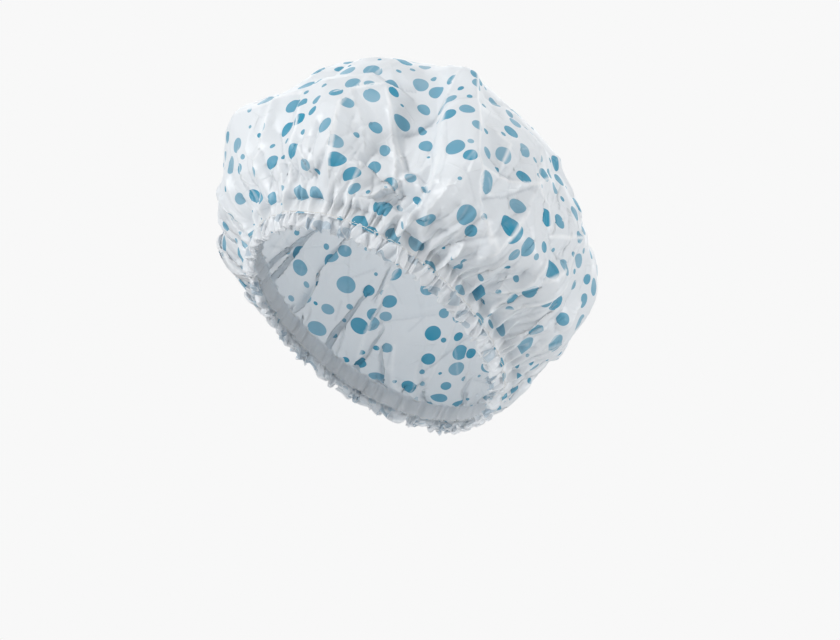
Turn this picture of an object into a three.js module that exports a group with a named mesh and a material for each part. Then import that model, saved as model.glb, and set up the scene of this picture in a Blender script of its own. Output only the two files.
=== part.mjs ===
// Shower cap: a gathered film crown, a sewn casing with a flat elastic inside, and a frill.
// Millimetres, +Z up. The origin is the centre of the head opening, on the plane of the
// frill's lower edge. -Y is the front of the cap and +X is its left side when worn.
import * as THREE from 'three';

// Head opening: half sizes of the elastic's centre line, which is an ellipse
const OPENING_HALF_WIDTH = 74;
const OPENING_HALF_LENGTH = 96;

// Sheet and thread thicknesses, and the gap kept between neighbouring layers
const FILM_WALL = 0.35;
const FRILL_WALL = 0.7;
const THREAD = 0.45;
const CLEARANCE = 0.3;

// Flat elastic with lapped ends at the back, overcast with thread
const ELASTIC_WIDTH = 6;
const ELASTIC_THICKNESS = 0.7;
const ELASTIC_LAP = 14;
const LAP_EASE = 28;
const ELASTIC_STEPS = 84;
const TACK_TURNS = 4;
const TACK_PITCH = 2.4;

// Seams: distance from a stitch line to the edge of the film beside it
const SEAM_MARGIN = 1.2;
const STITCHES = 72;
const STITCH_RISE = 0.2;

// Frill below the lower seam, leaning inwards to its wavy hem
const FRILL_DEPTH = 10;
const FRILL_LEAN = 4;
const FRILL_WAVE = 2.6;
const FRILL_SCALLOPS = 72;
const FRILL_STEPS_PER_SCALLOP = 6;

// Crown: an egg-shaped bag, widest a little above the casing
const CROWN_HALF_WIDTH = 115;
const CROWN_HALF_LENGTH = 108;
const CROWN_SHIFT_X = -4;
const CROWN_SHIFT_Y = -6;
const EQUATOR_RISE = 22;
const DOME_HEIGHT = 122;

// Gathers: pleats whose crests cut the corner between the casing and the crown. A crest's curve
// leaves the lower seam, bends at a distance out from the elastic and a rise above the seam, and
// ends on the crown. Crests and valleys each lie at a share of the way from the corner to the curve.
const GATHERS_PER_SECTOR = 6;
const PLEAT_BEND_OUT = 7.5;
const PLEAT_BEND_RISE = 7.5;
const PLEAT_END_LEVEL = -28;
const PLEAT_ROWS = [{ level: -80, along: 0.3 }, { level: -72, along: 0.6 }];
const CREST_SHARE = 1;
const VALLEY_SHARE = 0.3;
// Height of the film's wall where it lies at a slant in a pleat, in thicknesses
const SLANT_WALL = 1.4;

// Soft peaks where the bag stands out and a hollow where it draws in, as directions from the
// crown's centre in degrees
const PEAKS = [
  { azimuth: -35, elevation: 15, height: 18, spread: 13 },
  { azimuth: -14, elevation: 41, height: 15, spread: 27 },
  { azimuth: 40, elevation: 59, height: 6, spread: 13 },
  { azimuth: 125, elevation: 18, height: 9, spread: 15 },
  { azimuth: 145, elevation: -8, height: -10, spread: 11 },
  { azimuth: 180, elevation: 8, height: 14, spread: 32 },
];

// Broad creases on the crown, from one azimuth and level to another in degrees
const CREASES = [
  { from: [26, 22], to: [44, -70], height: -7, width: 5 },
  { from: [36, 46], to: [58, -16], height: 5, width: 6 },
];

// Main folds: lines of azimuths and levels in degrees, each a ridge (or, below 0, a valley) with a
// height and a width, and a step by which the film on the line's right stands over that on its left
const FOLDS = [
  { line: [[44, -60], [44, -18], [42, 6], [38, 16], [34, 30]], height: 1.6, width: 12, step: 11 },
  { line: [[67, -32], [60, -14], [52, 10], [45, 36], [39, 50]], height: 5.6, width: 13, step: -2 },
  { line: [[36, -16], [32, 4], [26, 12], [16, 26]], height: 4.8, width: 10, step: 0 },
  { line: [[26, 16], [30, 20], [32, 26], [34, 36]], height: -5.6, width: 12, step: -2 },
  { line: [[58, 1], [64, 6], [72, 16]], height: -4.8, width: 9, step: 0 },
  { line: [[72, 6], [71, -14], [70, -36]], height: 4.8, width: 10, step: 2 },
  { line: [[12, -20], [10, 6], [8, 14]], height: 4.8, width: 13, step: 0 },
  { line: [[20, 1], [26, -31], [32, -62]], height: -4.8, width: 12, step: 2 },
  { line: [[4, 18], [6, 20], [12, 26], [18, 30]], height: 4, width: 12, step: 1.5 },
  { line: [[85, 8], [99, 18]], height: 4, width: 10, step: 0 },
  { line: [[98, 1], [96, -28], [94, -57]], height: 4, width: 9, step: 1.5 },
  { line: [[85, -66], [88, -34], [95, 4]], height: 4.8, width: 10, step: 0 },
  { line: [[-30, 12], [-22, 14], [-18, 18], [-12, 21]], height: 4, width: 12, step: 0 },
  { line: [[108, 2], [110, -22], [114, -29]], height: -4, width: 10, step: 0 },
];
// How a step is shared between the two sides of its line, and how far it reaches on each
const STEP_ABOVE = 0.25;
const STEP_BELOW = 0.75;
const STEP_REACH_ABOVE = 22;
const STEP_REACH_BELOW = 15;
// Corners of the film's facets that lie this near to a fold are drawn onto it, and a corner on a
// fold belongs to its right side
const FOLD_CATCH = 3.5;
const ON_FOLD = 0.1;

// The crown's facets lie in rings round its top; each ring has one corner more in each sector
const SECTORS = 6;
const RINGS = 2 * GATHERS_PER_SECTOR;

// Heights that follow from the sizes above
const THREAD_ROOM = CLEARANCE + THREAD + CLEARANCE;
const LOWER_SEAM_Z = FRILL_DEPTH;
const CASING_BOTTOM_Z = LOWER_SEAM_Z - SEAM_MARGIN;
const FRILL_TOP_Z = LOWER_SEAM_Z + SEAM_MARGIN;
const ELASTIC_BOTTOM_Z = FRILL_TOP_Z + THREAD_ROOM;
const ELASTIC_TOP_Z = ELASTIC_BOTTOM_Z + ELASTIC_WIDTH;
const CHANNEL_TOP_Z = ELASTIC_TOP_Z + THREAD_ROOM;
const UPPER_SEAM_Z = CHANNEL_TOP_Z + SEAM_MARGIN;
const CASING_TOP_Z = UPPER_SEAM_Z + SEAM_MARGIN;
const EQUATOR_Z = CASING_TOP_Z + EQUATOR_RISE;

// Distances of the casing's plies from the elastic's centre line
const PLY_OFFSET = Math.max(ELASTIC_THICKNESS, FRILL_WALL) / 2 + CLEARANCE;
const LAP_SHIFT = (ELASTIC_THICKNESS + CLEARANCE) / 2;
const TACK_INSIDE = LAP_SHIFT + ELASTIC_THICKNESS / 2 + CLEARANCE;
const LAP_BULGE = Math.max(TACK_INSIDE + THREAD + CLEARANCE - PLY_OFFSET, 0);
const CLOSED_OFFSET = CLEARANCE / 2;

// Pleats: where the film leaves the casing's top, clear of the upper seam's thread
const LIP_ROOM = FILM_WALL + CLEARANCE + STITCH_RISE + THREAD + 2 * CLEARANCE;
const PLEAT_WALL = new THREE.Vector3(0, 0, SLANT_WALL * FILM_WALL);

const COLUMNS = SECTORS * RINGS;
const BACK = 0.5;
const DEGREES = Math.PI / 180;

const rim = new THREE.EllipseCurve(
  0, 0, OPENING_HALF_WIDTH, OPENING_HALF_LENGTH, -Math.PI / 2, 1.5 * Math.PI,
);
rim.arcLengthDivisions = 2000;
const RIM_LENGTH = rim.getLength();

// A share of the way round the rim, brought into 0 to 1; 0 is the front
function wrap(share) {
  return share - Math.floor(share);
}

// A point at a share of the rim's length, moved outwards from the elastic's centre line
function rimPoint(share, offset, z) {
  const point = rim.getPointAt(wrap(share));
  const tangent = rim.getTangentAt(wrap(share));
  return new THREE.Vector3(point.x + tangent.y * offset, point.y - tangent.x * offset, z);
}

// 1 beside the elastic's lap, easing to 0 on either side of it
function lapShare(share) {
  const distance = Math.abs(wrap(share) - BACK) * RIM_LENGTH;
  return THREE.MathUtils.clamp(1 - (distance - ELASTIC_LAP / 2) / LAP_EASE, 0, 1);
}

// Distance from the centre line to a ply's near face beside the elastic
function channelOffset(share) {
  return PLY_OFFSET + LAP_BULGE * lapShare(share);
}

// The same at a height: the plies close on each other from the channel's top to the casing's top
function plyOffset(share, z) {
  const closing = THREE.MathUtils.clamp((z - CHANNEL_TOP_Z) / (CASING_TOP_Z - CHANNEL_TOP_Z), 0, 1);
  return THREE.MathUtils.lerp(channelOffset(share), CLOSED_OFFSET, closing);
}

// A mesh builder: keeps points and triangles, and turns them into a geometry
function meshBuilder() {
  const positions = [];
  const triangles = [];
  return {
    point(p) {
      positions.push(p.x, p.y, p.z);
      return positions.length / 3 - 1;
    },
    triangle(a, b, c) {
      triangles.push(a, b, c);
    },
    quad(a, b, c, d) {
      triangles.push(a, b, c, a, c, d);
    },
    geometry() {
      const geometry = new THREE.BufferGeometry();
      geometry.setAttribute('position', new THREE.Float32BufferAttribute(positions, 3));
      geometry.setIndex(triangles);
      geometry.computeVertexNormals();
      return geometry;
    },
  };
}

// Joins a row of sections into a closed band or, with end caps, into an open strip.
// Each section goes round anticlockwise as seen looking back along the row.
function sweep(sections, closed) {
  const mesh = meshBuilder();
  const rows = sections.map((section) => section.map((p) => mesh.point(p)));
  const sides = rows[0].length;
  const bands = closed ? rows.length : rows.length - 1;
  for (let row = 0; row < bands; row += 1) {
    const here = rows[row];
    const next = rows[(row + 1) % rows.length];
    for (let side = 0; side < sides; side += 1) {
      const after = (side + 1) % sides;
      mesh.quad(here[side], next[side], next[after], here[after]);
    }
  }
  if (!closed) {
    const first = rows[0];
    const last = rows[rows.length - 1];
    for (let side = 1; side < sides - 1; side += 1) {
      mesh.triangle(first[0], first[side], first[side + 1]);
      mesh.triangle(last[0], last[side + 1], last[side]);
    }
  }
  return mesh.geometry();
}

// Each gather has a depth of its own, between half and all of the full depth
function gatherVariety(column) {
  return 0.75 + 0.25 * Math.sin(2.4 * column);
}

// Azimuth in degrees of a point at a share of the rim's length
function azimuthOf(share) {
  const point = rim.getPointAt(wrap(share));
  return Math.atan2(point.x / OPENING_HALF_WIDTH, -point.y / OPENING_HALF_LENGTH) / DEGREES;
}

function direction(azimuth, elevation) {
  const flat = Math.cos(elevation * DEGREES);
  return new THREE.Vector3(
    flat * Math.sin(azimuth * DEGREES),
    -flat * Math.cos(azimuth * DEGREES),
    Math.sin(elevation * DEGREES),
  );
}

// Height of the creases at an azimuth and level, by the distance to each crease's line
function creaseHeight(azimuth, level) {
  let height = 0;
  for (const crease of CREASES) {
    const narrowing = Math.cos(level * DEGREES);
    const along = THREE.MathUtils.clamp(
      (level - crease.from[1]) / (crease.to[1] - crease.from[1]), 0, 1,
    );
    const lineAzimuth = THREE.MathUtils.lerp(crease.from[0], crease.to[0], along);
    const lineLevel = THREE.MathUtils.lerp(crease.from[1], crease.to[1], along);
    const turn = THREE.MathUtils.euclideanModulo(azimuth - lineAzimuth + 180, 360) - 180;
    const distance = Math.hypot(turn * narrowing, level - lineLevel);
    height += crease.height * Math.exp(-((distance / crease.width) ** 2));
  }
  return height;
}

// The crown's outer face without gathers, at an azimuth from the front and a level.
// Below the equator it is a quarter ellipse in to the casing, above it half an ellipsoid.
function crownBase(azimuth, level) {
  const angle = level * DEGREES;
  const below = level < 0;
  const draw = below ? 1 - Math.cos(angle) : 0;
  const rimOffset = CLOSED_OFFSET + FILM_WALL;
  const shrink = below ? 1 : Math.cos(angle);
  const halfWidth = THREE.MathUtils.lerp(CROWN_HALF_WIDTH, OPENING_HALF_WIDTH + rimOffset, draw);
  const halfLength = THREE.MathUtils.lerp(CROWN_HALF_LENGTH, OPENING_HALF_LENGTH + rimOffset, draw);
  const rise = below ? EQUATOR_RISE : DOME_HEIGHT;
  const point = new THREE.Vector3(
    CROWN_SHIFT_X * (1 - draw) + halfWidth * shrink * Math.sin(azimuth * DEGREES),
    CROWN_SHIFT_Y * (1 - draw) - halfLength * shrink * Math.cos(azimuth * DEGREES),
    EQUATOR_Z + rise * Math.sin(angle),
  );
  const centre = new THREE.Vector3(CROWN_SHIFT_X, CROWN_SHIFT_Y, EQUATOR_Z);
  const outwards = point.clone().sub(centre).normalize();
  let height = creaseHeight(azimuth, level);
  for (const peak of PEAKS) {
    const away = outwards.angleTo(direction(peak.azimuth, peak.elevation)) / DEGREES;
    height += peak.height * Math.exp(-((away / peak.spread) ** 2));
  }
  return point.addScaledVector(outwards, height * (1 - draw));
}

// Outward direction of that face, from two small steps across it; straight up at the top
function crownNormal(azimuth, level) {
  const step = 1;
  if (level > 90 - step) return new THREE.Vector3(0, 0, 1);
  const low = Math.max(level - step, -90);
  const high = Math.min(level + step, 90 - step);
  const round = crownBase(azimuth + step, level).sub(crownBase(azimuth - step, level));
  const up = crownBase(azimuth, high).sub(crownBase(azimuth, low));
  return round.cross(up).normalize();
}

// Each fold's line as straight stretches between points of the crown's face
const foldStretches = FOLDS.map(({ line }) => {
  const points = line.map(([azimuth, level]) => crownBase(azimuth, level));
  return points.slice(1).map((point, index) => new THREE.Line3(points[index], point));
});

// The way from a point of the crown to the nearest place on a fold, and the fold's direction there
function wayToFold(stretches, point) {
  let best = { distance: Infinity };
  for (const stretch of stretches) {
    const place = stretch.closestPointToPoint(point, true, new THREE.Vector3());
    const distance = place.distanceTo(point);
    if (distance < best.distance) {
      best = { distance, way: place.sub(point), along: stretch.delta(new THREE.Vector3()) };
    }
  }
  return best;
}

// Height of all the folds at a point of the crown with its outward direction
function foldHeight(point, normal) {
  let total = 0;
  FOLDS.forEach(({ height, width, step }, index) => {
    const { distance, way, along } = wayToFold(foldStretches[index], point);
    total += height * Math.exp(-distance / width);
    const toLeft = way.dot(along.cross(normal).normalize());
    if (toLeft < ON_FOLD) total += step * STEP_ABOVE * Math.exp(-distance / STEP_REACH_ABOVE);
    else total -= step * STEP_BELOW * Math.exp(-distance / STEP_REACH_BELOW);
  });
  return total;
}

// A corner of the crown's facets: drawn along the face onto a fold that is near, then raised or
// sunk by the folds, at a depth inside the film
function crownPoint(azimuth, level, depth) {
  const point = crownBase(azimuth, level);
  const normal = crownNormal(azimuth, level);
  const nearest = foldStretches
    .map((stretches) => wayToFold(stretches, point))
    .reduce((best, one) => (one.distance < best.distance ? one : best));
  if (nearest.distance < FOLD_CATCH) point.add(nearest.way.projectOnPlane(normal));
  return point.addScaledVector(normal, foldHeight(point, normal) - depth);
}

// A pleat's crest at a share of its curve from the lower seam to the crown
function pleatCrest(share, along) {
  const curve = new THREE.QuadraticBezierCurve3(
    rimPoint(share, channelOffset(share) + FILM_WALL, LOWER_SEAM_Z),
    rimPoint(share, PLEAT_BEND_OUT, LOWER_SEAM_Z + PLEAT_BEND_RISE),
    crownPoint(azimuthOf(share), PLEAT_END_LEVEL, 0),
  );
  return curve.getPoint(along);
}

// Crown film: the casing's outer ply, the pleats over it and the faceted bag above, one sheet
function crownFilm() {
  const mesh = meshBuilder();
  const outer = [];
  const inner = [];

  function addRow(count, outerPoint, innerPoint) {
    const all = Array.from({ length: count }, (_, index) => index);
    outer.push(all.map((index) => mesh.point(outerPoint(index / count, index))));
    inner.push(all.map((index) => mesh.point(innerPoint(index / count, index))));
  }

  // A row of the pleats, between the corner under the crown and the crests' curve
  function addPleats(level, along) {
    const place = (share, column) => {
      const lift = column % 2 === 0 ? VALLEY_SHARE : CREST_SHARE * gatherVariety(column);
      return crownBase(azimuthOf(share), level).lerp(pleatCrest(share, along), lift);
    };
    addRow(COLUMNS, place, (share, column) => place(share, column).add(PLEAT_WALL));
  }

  for (const z of [CASING_BOTTOM_Z, CHANNEL_TOP_Z]) {
    addRow(
      COLUMNS,
      (share) => rimPoint(share, plyOffset(share, z) + FILM_WALL, z),
      (share) => rimPoint(share, plyOffset(share, z), z),
    );
  }
  addRow(
    COLUMNS,
    (share) => rimPoint(share, CLOSED_OFFSET + FILM_WALL, CASING_TOP_Z),
    (share) => rimPoint(share, CLOSED_OFFSET, CASING_TOP_Z + FILM_WALL),
  );
  const lip = (share) => rimPoint(share, plyOffset(share, UPPER_SEAM_Z) + LIP_ROOM, CASING_TOP_Z);
  addRow(COLUMNS, lip, (share) => lip(share).add(PLEAT_WALL));
  for (const { level, along } of PLEAT_ROWS) addPleats(level, along);
  for (let ring = RINGS; ring >= 0; ring -= 1) {
    const level = ring === RINGS ? PLEAT_END_LEVEL : 90 * (1 - ring / (RINGS - 1));
    addRow(
      Math.max(SECTORS * ring, 1),
      (share) => crownPoint(azimuthOf(share), level, 0),
      (share) => crownPoint(azimuthOf(share), level, FILM_WALL),
    );
  }

  // A face between three corners, each a row and a place in it, and its inside partner turned over
  function pair(...corners) {
    const [a, b, c] = corners.map(([row, place]) => outer[row][place]);
    mesh.triangle(a, b, c);
    const [d, e, f] = corners.map(([row, place]) => inner[row][place]);
    mesh.triangle(d, f, e);
  }
  for (let row = 0; row + 1 < outer.length; row += 1) {
    const count = outer[row].length;
    const above = outer[row + 1].length;
    const perSector = count / SECTORS;
    for (let k = 0; k < count; k += 1) {
      const next = (k + 1) % count;
      if (count === above) {
        pair([row, k], [row, next], [row + 1, next]);
        pair([row, k], [row + 1, next], [row + 1, k]);
      } else {
        const high = (k - Math.floor(k / perSector)) % above;
        pair([row, k], [row, next], [row + 1, high]);
        if (k % perSector !== 0) pair([row, k], [row + 1, high], [row + 1, (high + above - 1) % above]);
      }
    }
  }
  for (let k = 0; k < COLUMNS; k += 1) {
    const next = (k + 1) % COLUMNS;
    mesh.quad(outer[0][k], inner[0][k], inner[0][next], outer[0][next]);
  }
  return mesh.geometry();
}

// Casing tape: the inner ply that keeps the elastic in its channel
function casingTape() {
  const sections = [];
  for (let column = 0; column < COLUMNS; column += 1) {
    const share = column / COLUMNS;
    const heights = [CASING_BOTTOM_Z, CHANNEL_TOP_Z, CASING_TOP_Z];
    const outside = heights.map((z) => rimPoint(share, -plyOffset(share, z), z));
    const inside = heights.map((z) => rimPoint(share, -plyOffset(share, z) - FILM_WALL, z));
    sections.push([...outside, ...inside.reverse()]);
  }
  return sweep(sections, true);
}

// Frill: a folded strip of film, plain where the lower seam holds it and scalloped below
function frill() {
  const mesh = meshBuilder();
  const bendZ = CASING_BOTTOM_Z - CLEARANCE;
  const steps = FRILL_STEPS_PER_SCALLOP;
  const half = steps / 2;
  const edges = FRILL_SCALLOPS * steps;
  const faces = [1, -1].map((side) => {
    const offset = (side * FRILL_WALL) / 2;
    const plain = (z) => Array.from({ length: FRILL_SCALLOPS }, (_, column) => (
      mesh.point(rimPoint(column / FRILL_SCALLOPS, offset, z))
    ));
    const hem = Array.from({ length: edges }, (_, edge) => {
      const wave = -FRILL_WAVE * Math.cos((2 * Math.PI * edge) / steps);
      return mesh.point(rimPoint(edge / edges, wave - FRILL_LEAN + offset, 0));
    });
    return { side, top: plain(FRILL_TOP_Z), bend: plain(bendZ), hem };
  });

  function facing(side, a, b, c) {
    if (side > 0) mesh.triangle(a, b, c);
    else mesh.triangle(a, c, b);
  }
  for (const { side, top, bend, hem } of faces) {
    for (let column = 0; column < FRILL_SCALLOPS; column += 1) {
      const next = (column + 1) % FRILL_SCALLOPS;
      facing(side, bend[column], bend[next], top[next]);
      facing(side, bend[column], top[next], top[column]);
      const first = column * steps;
      for (let step = 0; step < steps; step += 1) {
        const corner = step < half ? bend[column] : bend[next];
        facing(side, hem[first + step], hem[(first + step + 1) % edges], corner);
      }
      facing(side, hem[first + half], bend[next], bend[column]);
    }
  }
  const [outside, inside] = faces;
  for (let column = 0; column < FRILL_SCALLOPS; column += 1) {
    const next = (column + 1) % FRILL_SCALLOPS;
    mesh.quad(outside.top[column], outside.top[next], inside.top[next], inside.top[column]);
  }
  for (let edge = 0; edge < edges; edge += 1) {
    const next = (edge + 1) % edges;
    mesh.quad(outside.hem[edge], inside.hem[edge], inside.hem[next], outside.hem[next]);
  }
  return mesh.geometry();
}

// Elastic band: one flat strip round the rim, whose ends lap side by side at the back
function elasticBand() {
  const lapTurn = ELASTIC_LAP / RIM_LENGTH;
  const sections = [];
  for (let step = 0; step <= ELASTIC_STEPS; step += 1) {
    const along = step / ELASTIC_STEPS;
    const share = BACK - lapTurn / 2 + along * (1 + lapTurn);
    const side = along < 0.5 ? -1 : 1;
    const middle = side * LAP_SHIFT * lapShare(share);
    const outside = middle + ELASTIC_THICKNESS / 2;
    const inside = middle - ELASTIC_THICKNESS / 2;
    sections.push([
      rimPoint(share, outside, ELASTIC_BOTTOM_Z),
      rimPoint(share, outside, ELASTIC_TOP_Z),
      rimPoint(share, inside, ELASTIC_TOP_Z),
      rimPoint(share, inside, ELASTIC_BOTTOM_Z),
    ]);
  }
  return sweep(sections, false);
}

// Elastic tack: thread overcast round the lapped ends, a square helix of a few turns
function elasticTack() {
  const corners = [[-1, 0], [1, 0], [1, 1], [-1, 1]];
  const halfThread = THREAD / 2 / RIM_LENGTH;
  const sections = [];
  for (let corner = 0; corner <= 4 * TACK_TURNS; corner += 1) {
    const [side, high] = corners[corner % 4];
    const advance = (corner / 4 - TACK_TURNS / 2) * TACK_PITCH;
    const share = BACK + advance / RIM_LENGTH;
    const near = side * TACK_INSIDE;
    const far = side * (TACK_INSIDE + THREAD);
    const nearZ = high ? ELASTIC_TOP_Z + CLEARANCE : ELASTIC_BOTTOM_Z - CLEARANCE;
    const farZ = high ? nearZ + THREAD : nearZ - THREAD;
    sections.push([
      rimPoint(share - halfThread, near, nearZ),
      rimPoint(share + halfThread, near, nearZ),
      rimPoint(share + halfThread, far, farZ),
      rimPoint(share - halfThread, far, farZ),
    ]);
  }
  return sweep(sections, false);
}

// Seam thread: one stitch line on the outer (side 1) or inner (side -1) face of the casing,
// tight where each stitch goes in and a little proud at the middle of each stitch
function seamThread(z, side) {
  const sections = [];
  const steps = 2 * STITCHES;
  for (let step = 0; step < steps; step += 1) {
    const share = step / steps;
    const proud = step % 2 === 0 ? 0 : STITCH_RISE;
    const near = plyOffset(share, z) + FILM_WALL + CLEARANCE + proud;
    const far = near + THREAD;
    const outside = side > 0 ? far : -near;
    const inside = side > 0 ? near : -far;
    sections.push([
      rimPoint(share, outside, z - THREAD / 2),
      rimPoint(share, outside, z + THREAD / 2),
      rimPoint(share, inside, z + THREAD / 2),
      rimPoint(share, inside, z - THREAD / 2),
    ]);
  }
  return sweep(sections, true);
}

const cap = new THREE.Group();

function addPiece(name, geometry, color, roughness) {
  const material = new THREE.MeshStandardMaterial({ color, roughness, metalness: 0 });
  const mesh = new THREE.Mesh(geometry, material);
  mesh.name = name;
  cap.add(mesh);
}

addPiece('crown_film', crownFilm(), '#dfe3e6', 0.22);
addPiece('casing_tape', casingTape(), '#d6d9de', 0.3);
addPiece('frill', frill(), '#dcdfe3', 0.3);
addPiece('elastic_band', elasticBand(), '#eeeeea', 0.8);
addPiece('elastic_tack_thread', elasticTack(), '#f2f2f0', 0.7);
addPiece('upper_needle_thread', seamThread(UPPER_SEAM_Z, 1), '#f2f2f0', 0.7);
addPiece('upper_bobbin_thread', seamThread(UPPER_SEAM_Z, -1), '#f2f2f0', 0.7);
addPiece('lower_needle_thread', seamThread(LOWER_SEAM_Z, 1), '#f2f2f0', 0.7);
addPiece('lower_bobbin_thread', seamThread(LOWER_SEAM_Z, -1), '#f2f2f0', 0.7);

export default cap;
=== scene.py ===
"""Looks of a shower cap: a gathered disc of dotted film with its casing, frill, elastic and thread."""
import math

import bpy
import numpy as np
from mathutils import Matrix, Vector


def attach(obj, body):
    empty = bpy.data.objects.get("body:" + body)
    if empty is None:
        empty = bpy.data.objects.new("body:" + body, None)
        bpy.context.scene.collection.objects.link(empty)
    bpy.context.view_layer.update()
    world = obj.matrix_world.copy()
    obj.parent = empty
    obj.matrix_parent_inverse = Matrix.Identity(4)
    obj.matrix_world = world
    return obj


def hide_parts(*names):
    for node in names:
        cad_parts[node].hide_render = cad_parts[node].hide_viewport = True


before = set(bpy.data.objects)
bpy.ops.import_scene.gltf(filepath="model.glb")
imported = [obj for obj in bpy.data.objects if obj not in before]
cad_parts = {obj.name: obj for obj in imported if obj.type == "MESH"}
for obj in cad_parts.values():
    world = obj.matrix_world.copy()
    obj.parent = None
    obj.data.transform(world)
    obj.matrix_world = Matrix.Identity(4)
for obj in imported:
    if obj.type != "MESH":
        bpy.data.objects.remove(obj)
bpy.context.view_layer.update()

# Sizes in millimetres, most of them as in the part's source; pieces are worked out in millimetres
MM = 0.001
OPENING_HALF_WIDTH = 74.0
OPENING_HALF_LENGTH = 96.0
ELASTIC_WIDTH = 6.0
ELASTIC_THICKNESS = 0.7
ELASTIC_LAP = 14.0
LAP_EASE = 28.0
THREAD_RADIUS = 0.22
THREAD_SIDES = 6
TACK_RADIUS = 0.2
TACK_TURNS = 4
TACK_PITCH = 2.4
FRILL_TOP_Z = 11.2
LOWER_SEAM_Z = 10.0
ELASTIC_BOTTOM_Z = 12.25
CHANNEL_TOP_Z = 19.3
UPPER_SEAM_Z = 20.5
CASING_TOP_Z = 21.7
PLY_OFFSET = 0.65
CLOSED_OFFSET = 0.15
LAP_SHIFT = 0.5
LAP_BULGE = 1.25
CROWN_HALF_WIDTH = 115.0
CROWN_HALF_LENGTH = 108.0
CROWN_SHIFT = (-4.0, -6.0)
EQUATOR_RISE = 22.0
DOME_HEIGHT = 122.0
EQUATOR_Z = CASING_TOP_Z + EQUATOR_RISE
RIM_CLEARANCE = 0.5
FILM_THICKNESS = 0.35

# Puffed corners of the crown and a hollow: azimuth and elevation in degrees, height in mm (a hollow below 0),
# spread in degrees
PEAKS = (
    (-35, 15, 15, 13),
    (-14, 41, 12, 27),
    (40, 59, 3, 13),
    (125, 18, 9, 15),
    (145, -8, -10, 11),
    (180, 8, 14, 32),
)
# Main creases: azimuth and level at each end in degrees, height in mm (a valley below 0), width in degrees
CREASES = (
    ((24, 26), (40, -60), -12, 11),
    ((36, 46), (58, -16), 5, 6),
)

# Main folds, much as in the part's source, then lesser ones: points of azimuth and level in degrees, height
# and width of the ridge (a valley below 0) in mm, and by how many mm the film on the right of the line, going
# along it, stands over the film on its left
FOLDS = (
    (((44, -60), (44, -18), (42, 6), (38, 16), (34, 30)), 1.6, 12, 11.0),
    (((67, -32), (60, -14), (52, 10), (45, 36), (41, 46)), 5.2, 12, -2.0),
    (((36, -16), (32, 4), (26, 12), (16, 26)), 4.8, 10, 0.0),
    (((26, 16), (30, 20), (32, 26), (34, 36)), -5.6, 12, -2.0),
    (((58, 1), (64, 6), (72, 16)), -4.8, 9, 0.0),
    (((72, 6), (71, -14), (70, -36)), 4.8, 10, 2.0),
    (((12, -20), (10, 6), (8, 14)), 4.8, 13, 0.0),
    (((20, 1), (26, -31), (32, -62)), -4.8, 12, 2.0),
    (((4, 18), (6, 20), (12, 26), (18, 30)), 4.0, 12, 1.5),
    (((85, 8), (99, 18)), 4.0, 10, 0.0),
    (((98, 1), (96, -28), (94, -57)), 4.0, 9, 1.5),
    (((85, -66), (88, -34), (95, 4)), 4.8, 10, 0.0),
    (((-30, 12), (-22, 14), (-18, 18), (-12, 21)), 4.0, 12, 0.0),
    (((108, 2), (110, -22), (114, -29)), -4.0, 10, 0.0),
    (((54, 7), (62, 11), (72, 16)), 4.0, 8, 0.0),
    (((72, 16), (78, 25)), 3.2, 8, 0.0),
    (((72, 16), (80, 16), (83, 10)), 4.0, 8, 1.5),
    (((56, 16), (60, 13), (64, 14)), -4.0, 6, 0.0),
    (((55, 25), (60, 24), (60, 16)), 3.2, 6, 0.0),
    (((62, -20), (70, -32)), 3.2, 8, 0.0),
    (((84, 8), (88, 6), (94, 6)), -3.2, 8, 0.0),
    (((-8, 14), (-6, 8), (-5, 2)), 4.0, 10, 0.0),
    (((-5, -20), (-1, -42), (3, -55)), -4.0, 7, 0.0),
    (((-20, -42), (-22, -64)), -4.0, 7, 0.0),
    (((8, -22), (4, -55)), -4.0, 7, 2.0),
    (((-14, 8), (-9, -1), (-6, -36)), -4.0, 9, 0.0),
    (((29, 10), (34, 4), (38, 3), (42, 2)), -4.8, 8, 0.0),
    (((6, 33), (14, 32), (22, 36)), -3.2, 8, 0.0),
)
# Tucks: lines of azimuth and level from the seam up, along which spare film is folded away behind the film
# beside it, and by how many mm the film on the right of the line stands over the film on its left
TUCKS = (
    (((-74, -84), (-70, -30), (-72, 46)), -2.4),
    (((-43, -84), (-46, -30), (-45, 44)), 2.0),
    (((-23, -84), (-20, -42), (-19, 0), (-20, 42)), 1.4),
    (((15, -84), (12, -20), (10, 6), (8, 14), (8, 46)), -1.2),
    (((46, -84), (44, -60), (44, -18), (42, 6), (38, 16), (34, 30), (33, 46)), 1.2),
    (((68, -84), (70, -36), (71, -14), (72, 6), (74, 44)), 1.0),
    (((92, -84), (94, -57), (96, -28), (98, 1), (100, 42)), 1.0),
    (((124, -84), (120, -30), (122, 46)), -1.0),
    (((144, -84), (148, -30), (147, 44)), 2.6),
    (((175, -84), (171, -30), (172, 46)), -2.2),
    (((196, -84), (199, -30), (196, 44)), 2.4),
    (((226, -84), (221, -30), (222, 46)), 2.0),
    (((243, -84), (247, -30), (245, 44)), -2.4),
    (((270, -84), (266, -30), (267, 46)), 2.2),
)
TUCK_HEIGHT = 1.4
TUCK_WIDTH = 7.0
# Share of the film's width that shows between the tucks, and the distances from the top, along the flat
# disc, at which the tucks begin and are whole
FILM_SHOWN = 0.92
TUCK_START = 60.0
TUCK_WHOLE = 150.0
# Short straight creases left by handling, spread over the whole film
HANDLING_CREASES = 340
# Sharp creases that rise from the seam between the gathers
GATHER_CREASES = 220

# Spare film: the smooth part's middle, half width and ease in degrees, and the share of the spare film that
# is kept on the crown there and at the back
SMOOTH_MIDDLE = 45.0
SMOOTH_HALF = 88.0
SMOOTH_EASE = 35.0
FRONT_SPREAD = 0.12
BACK_SPREAD = 0.8

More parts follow.
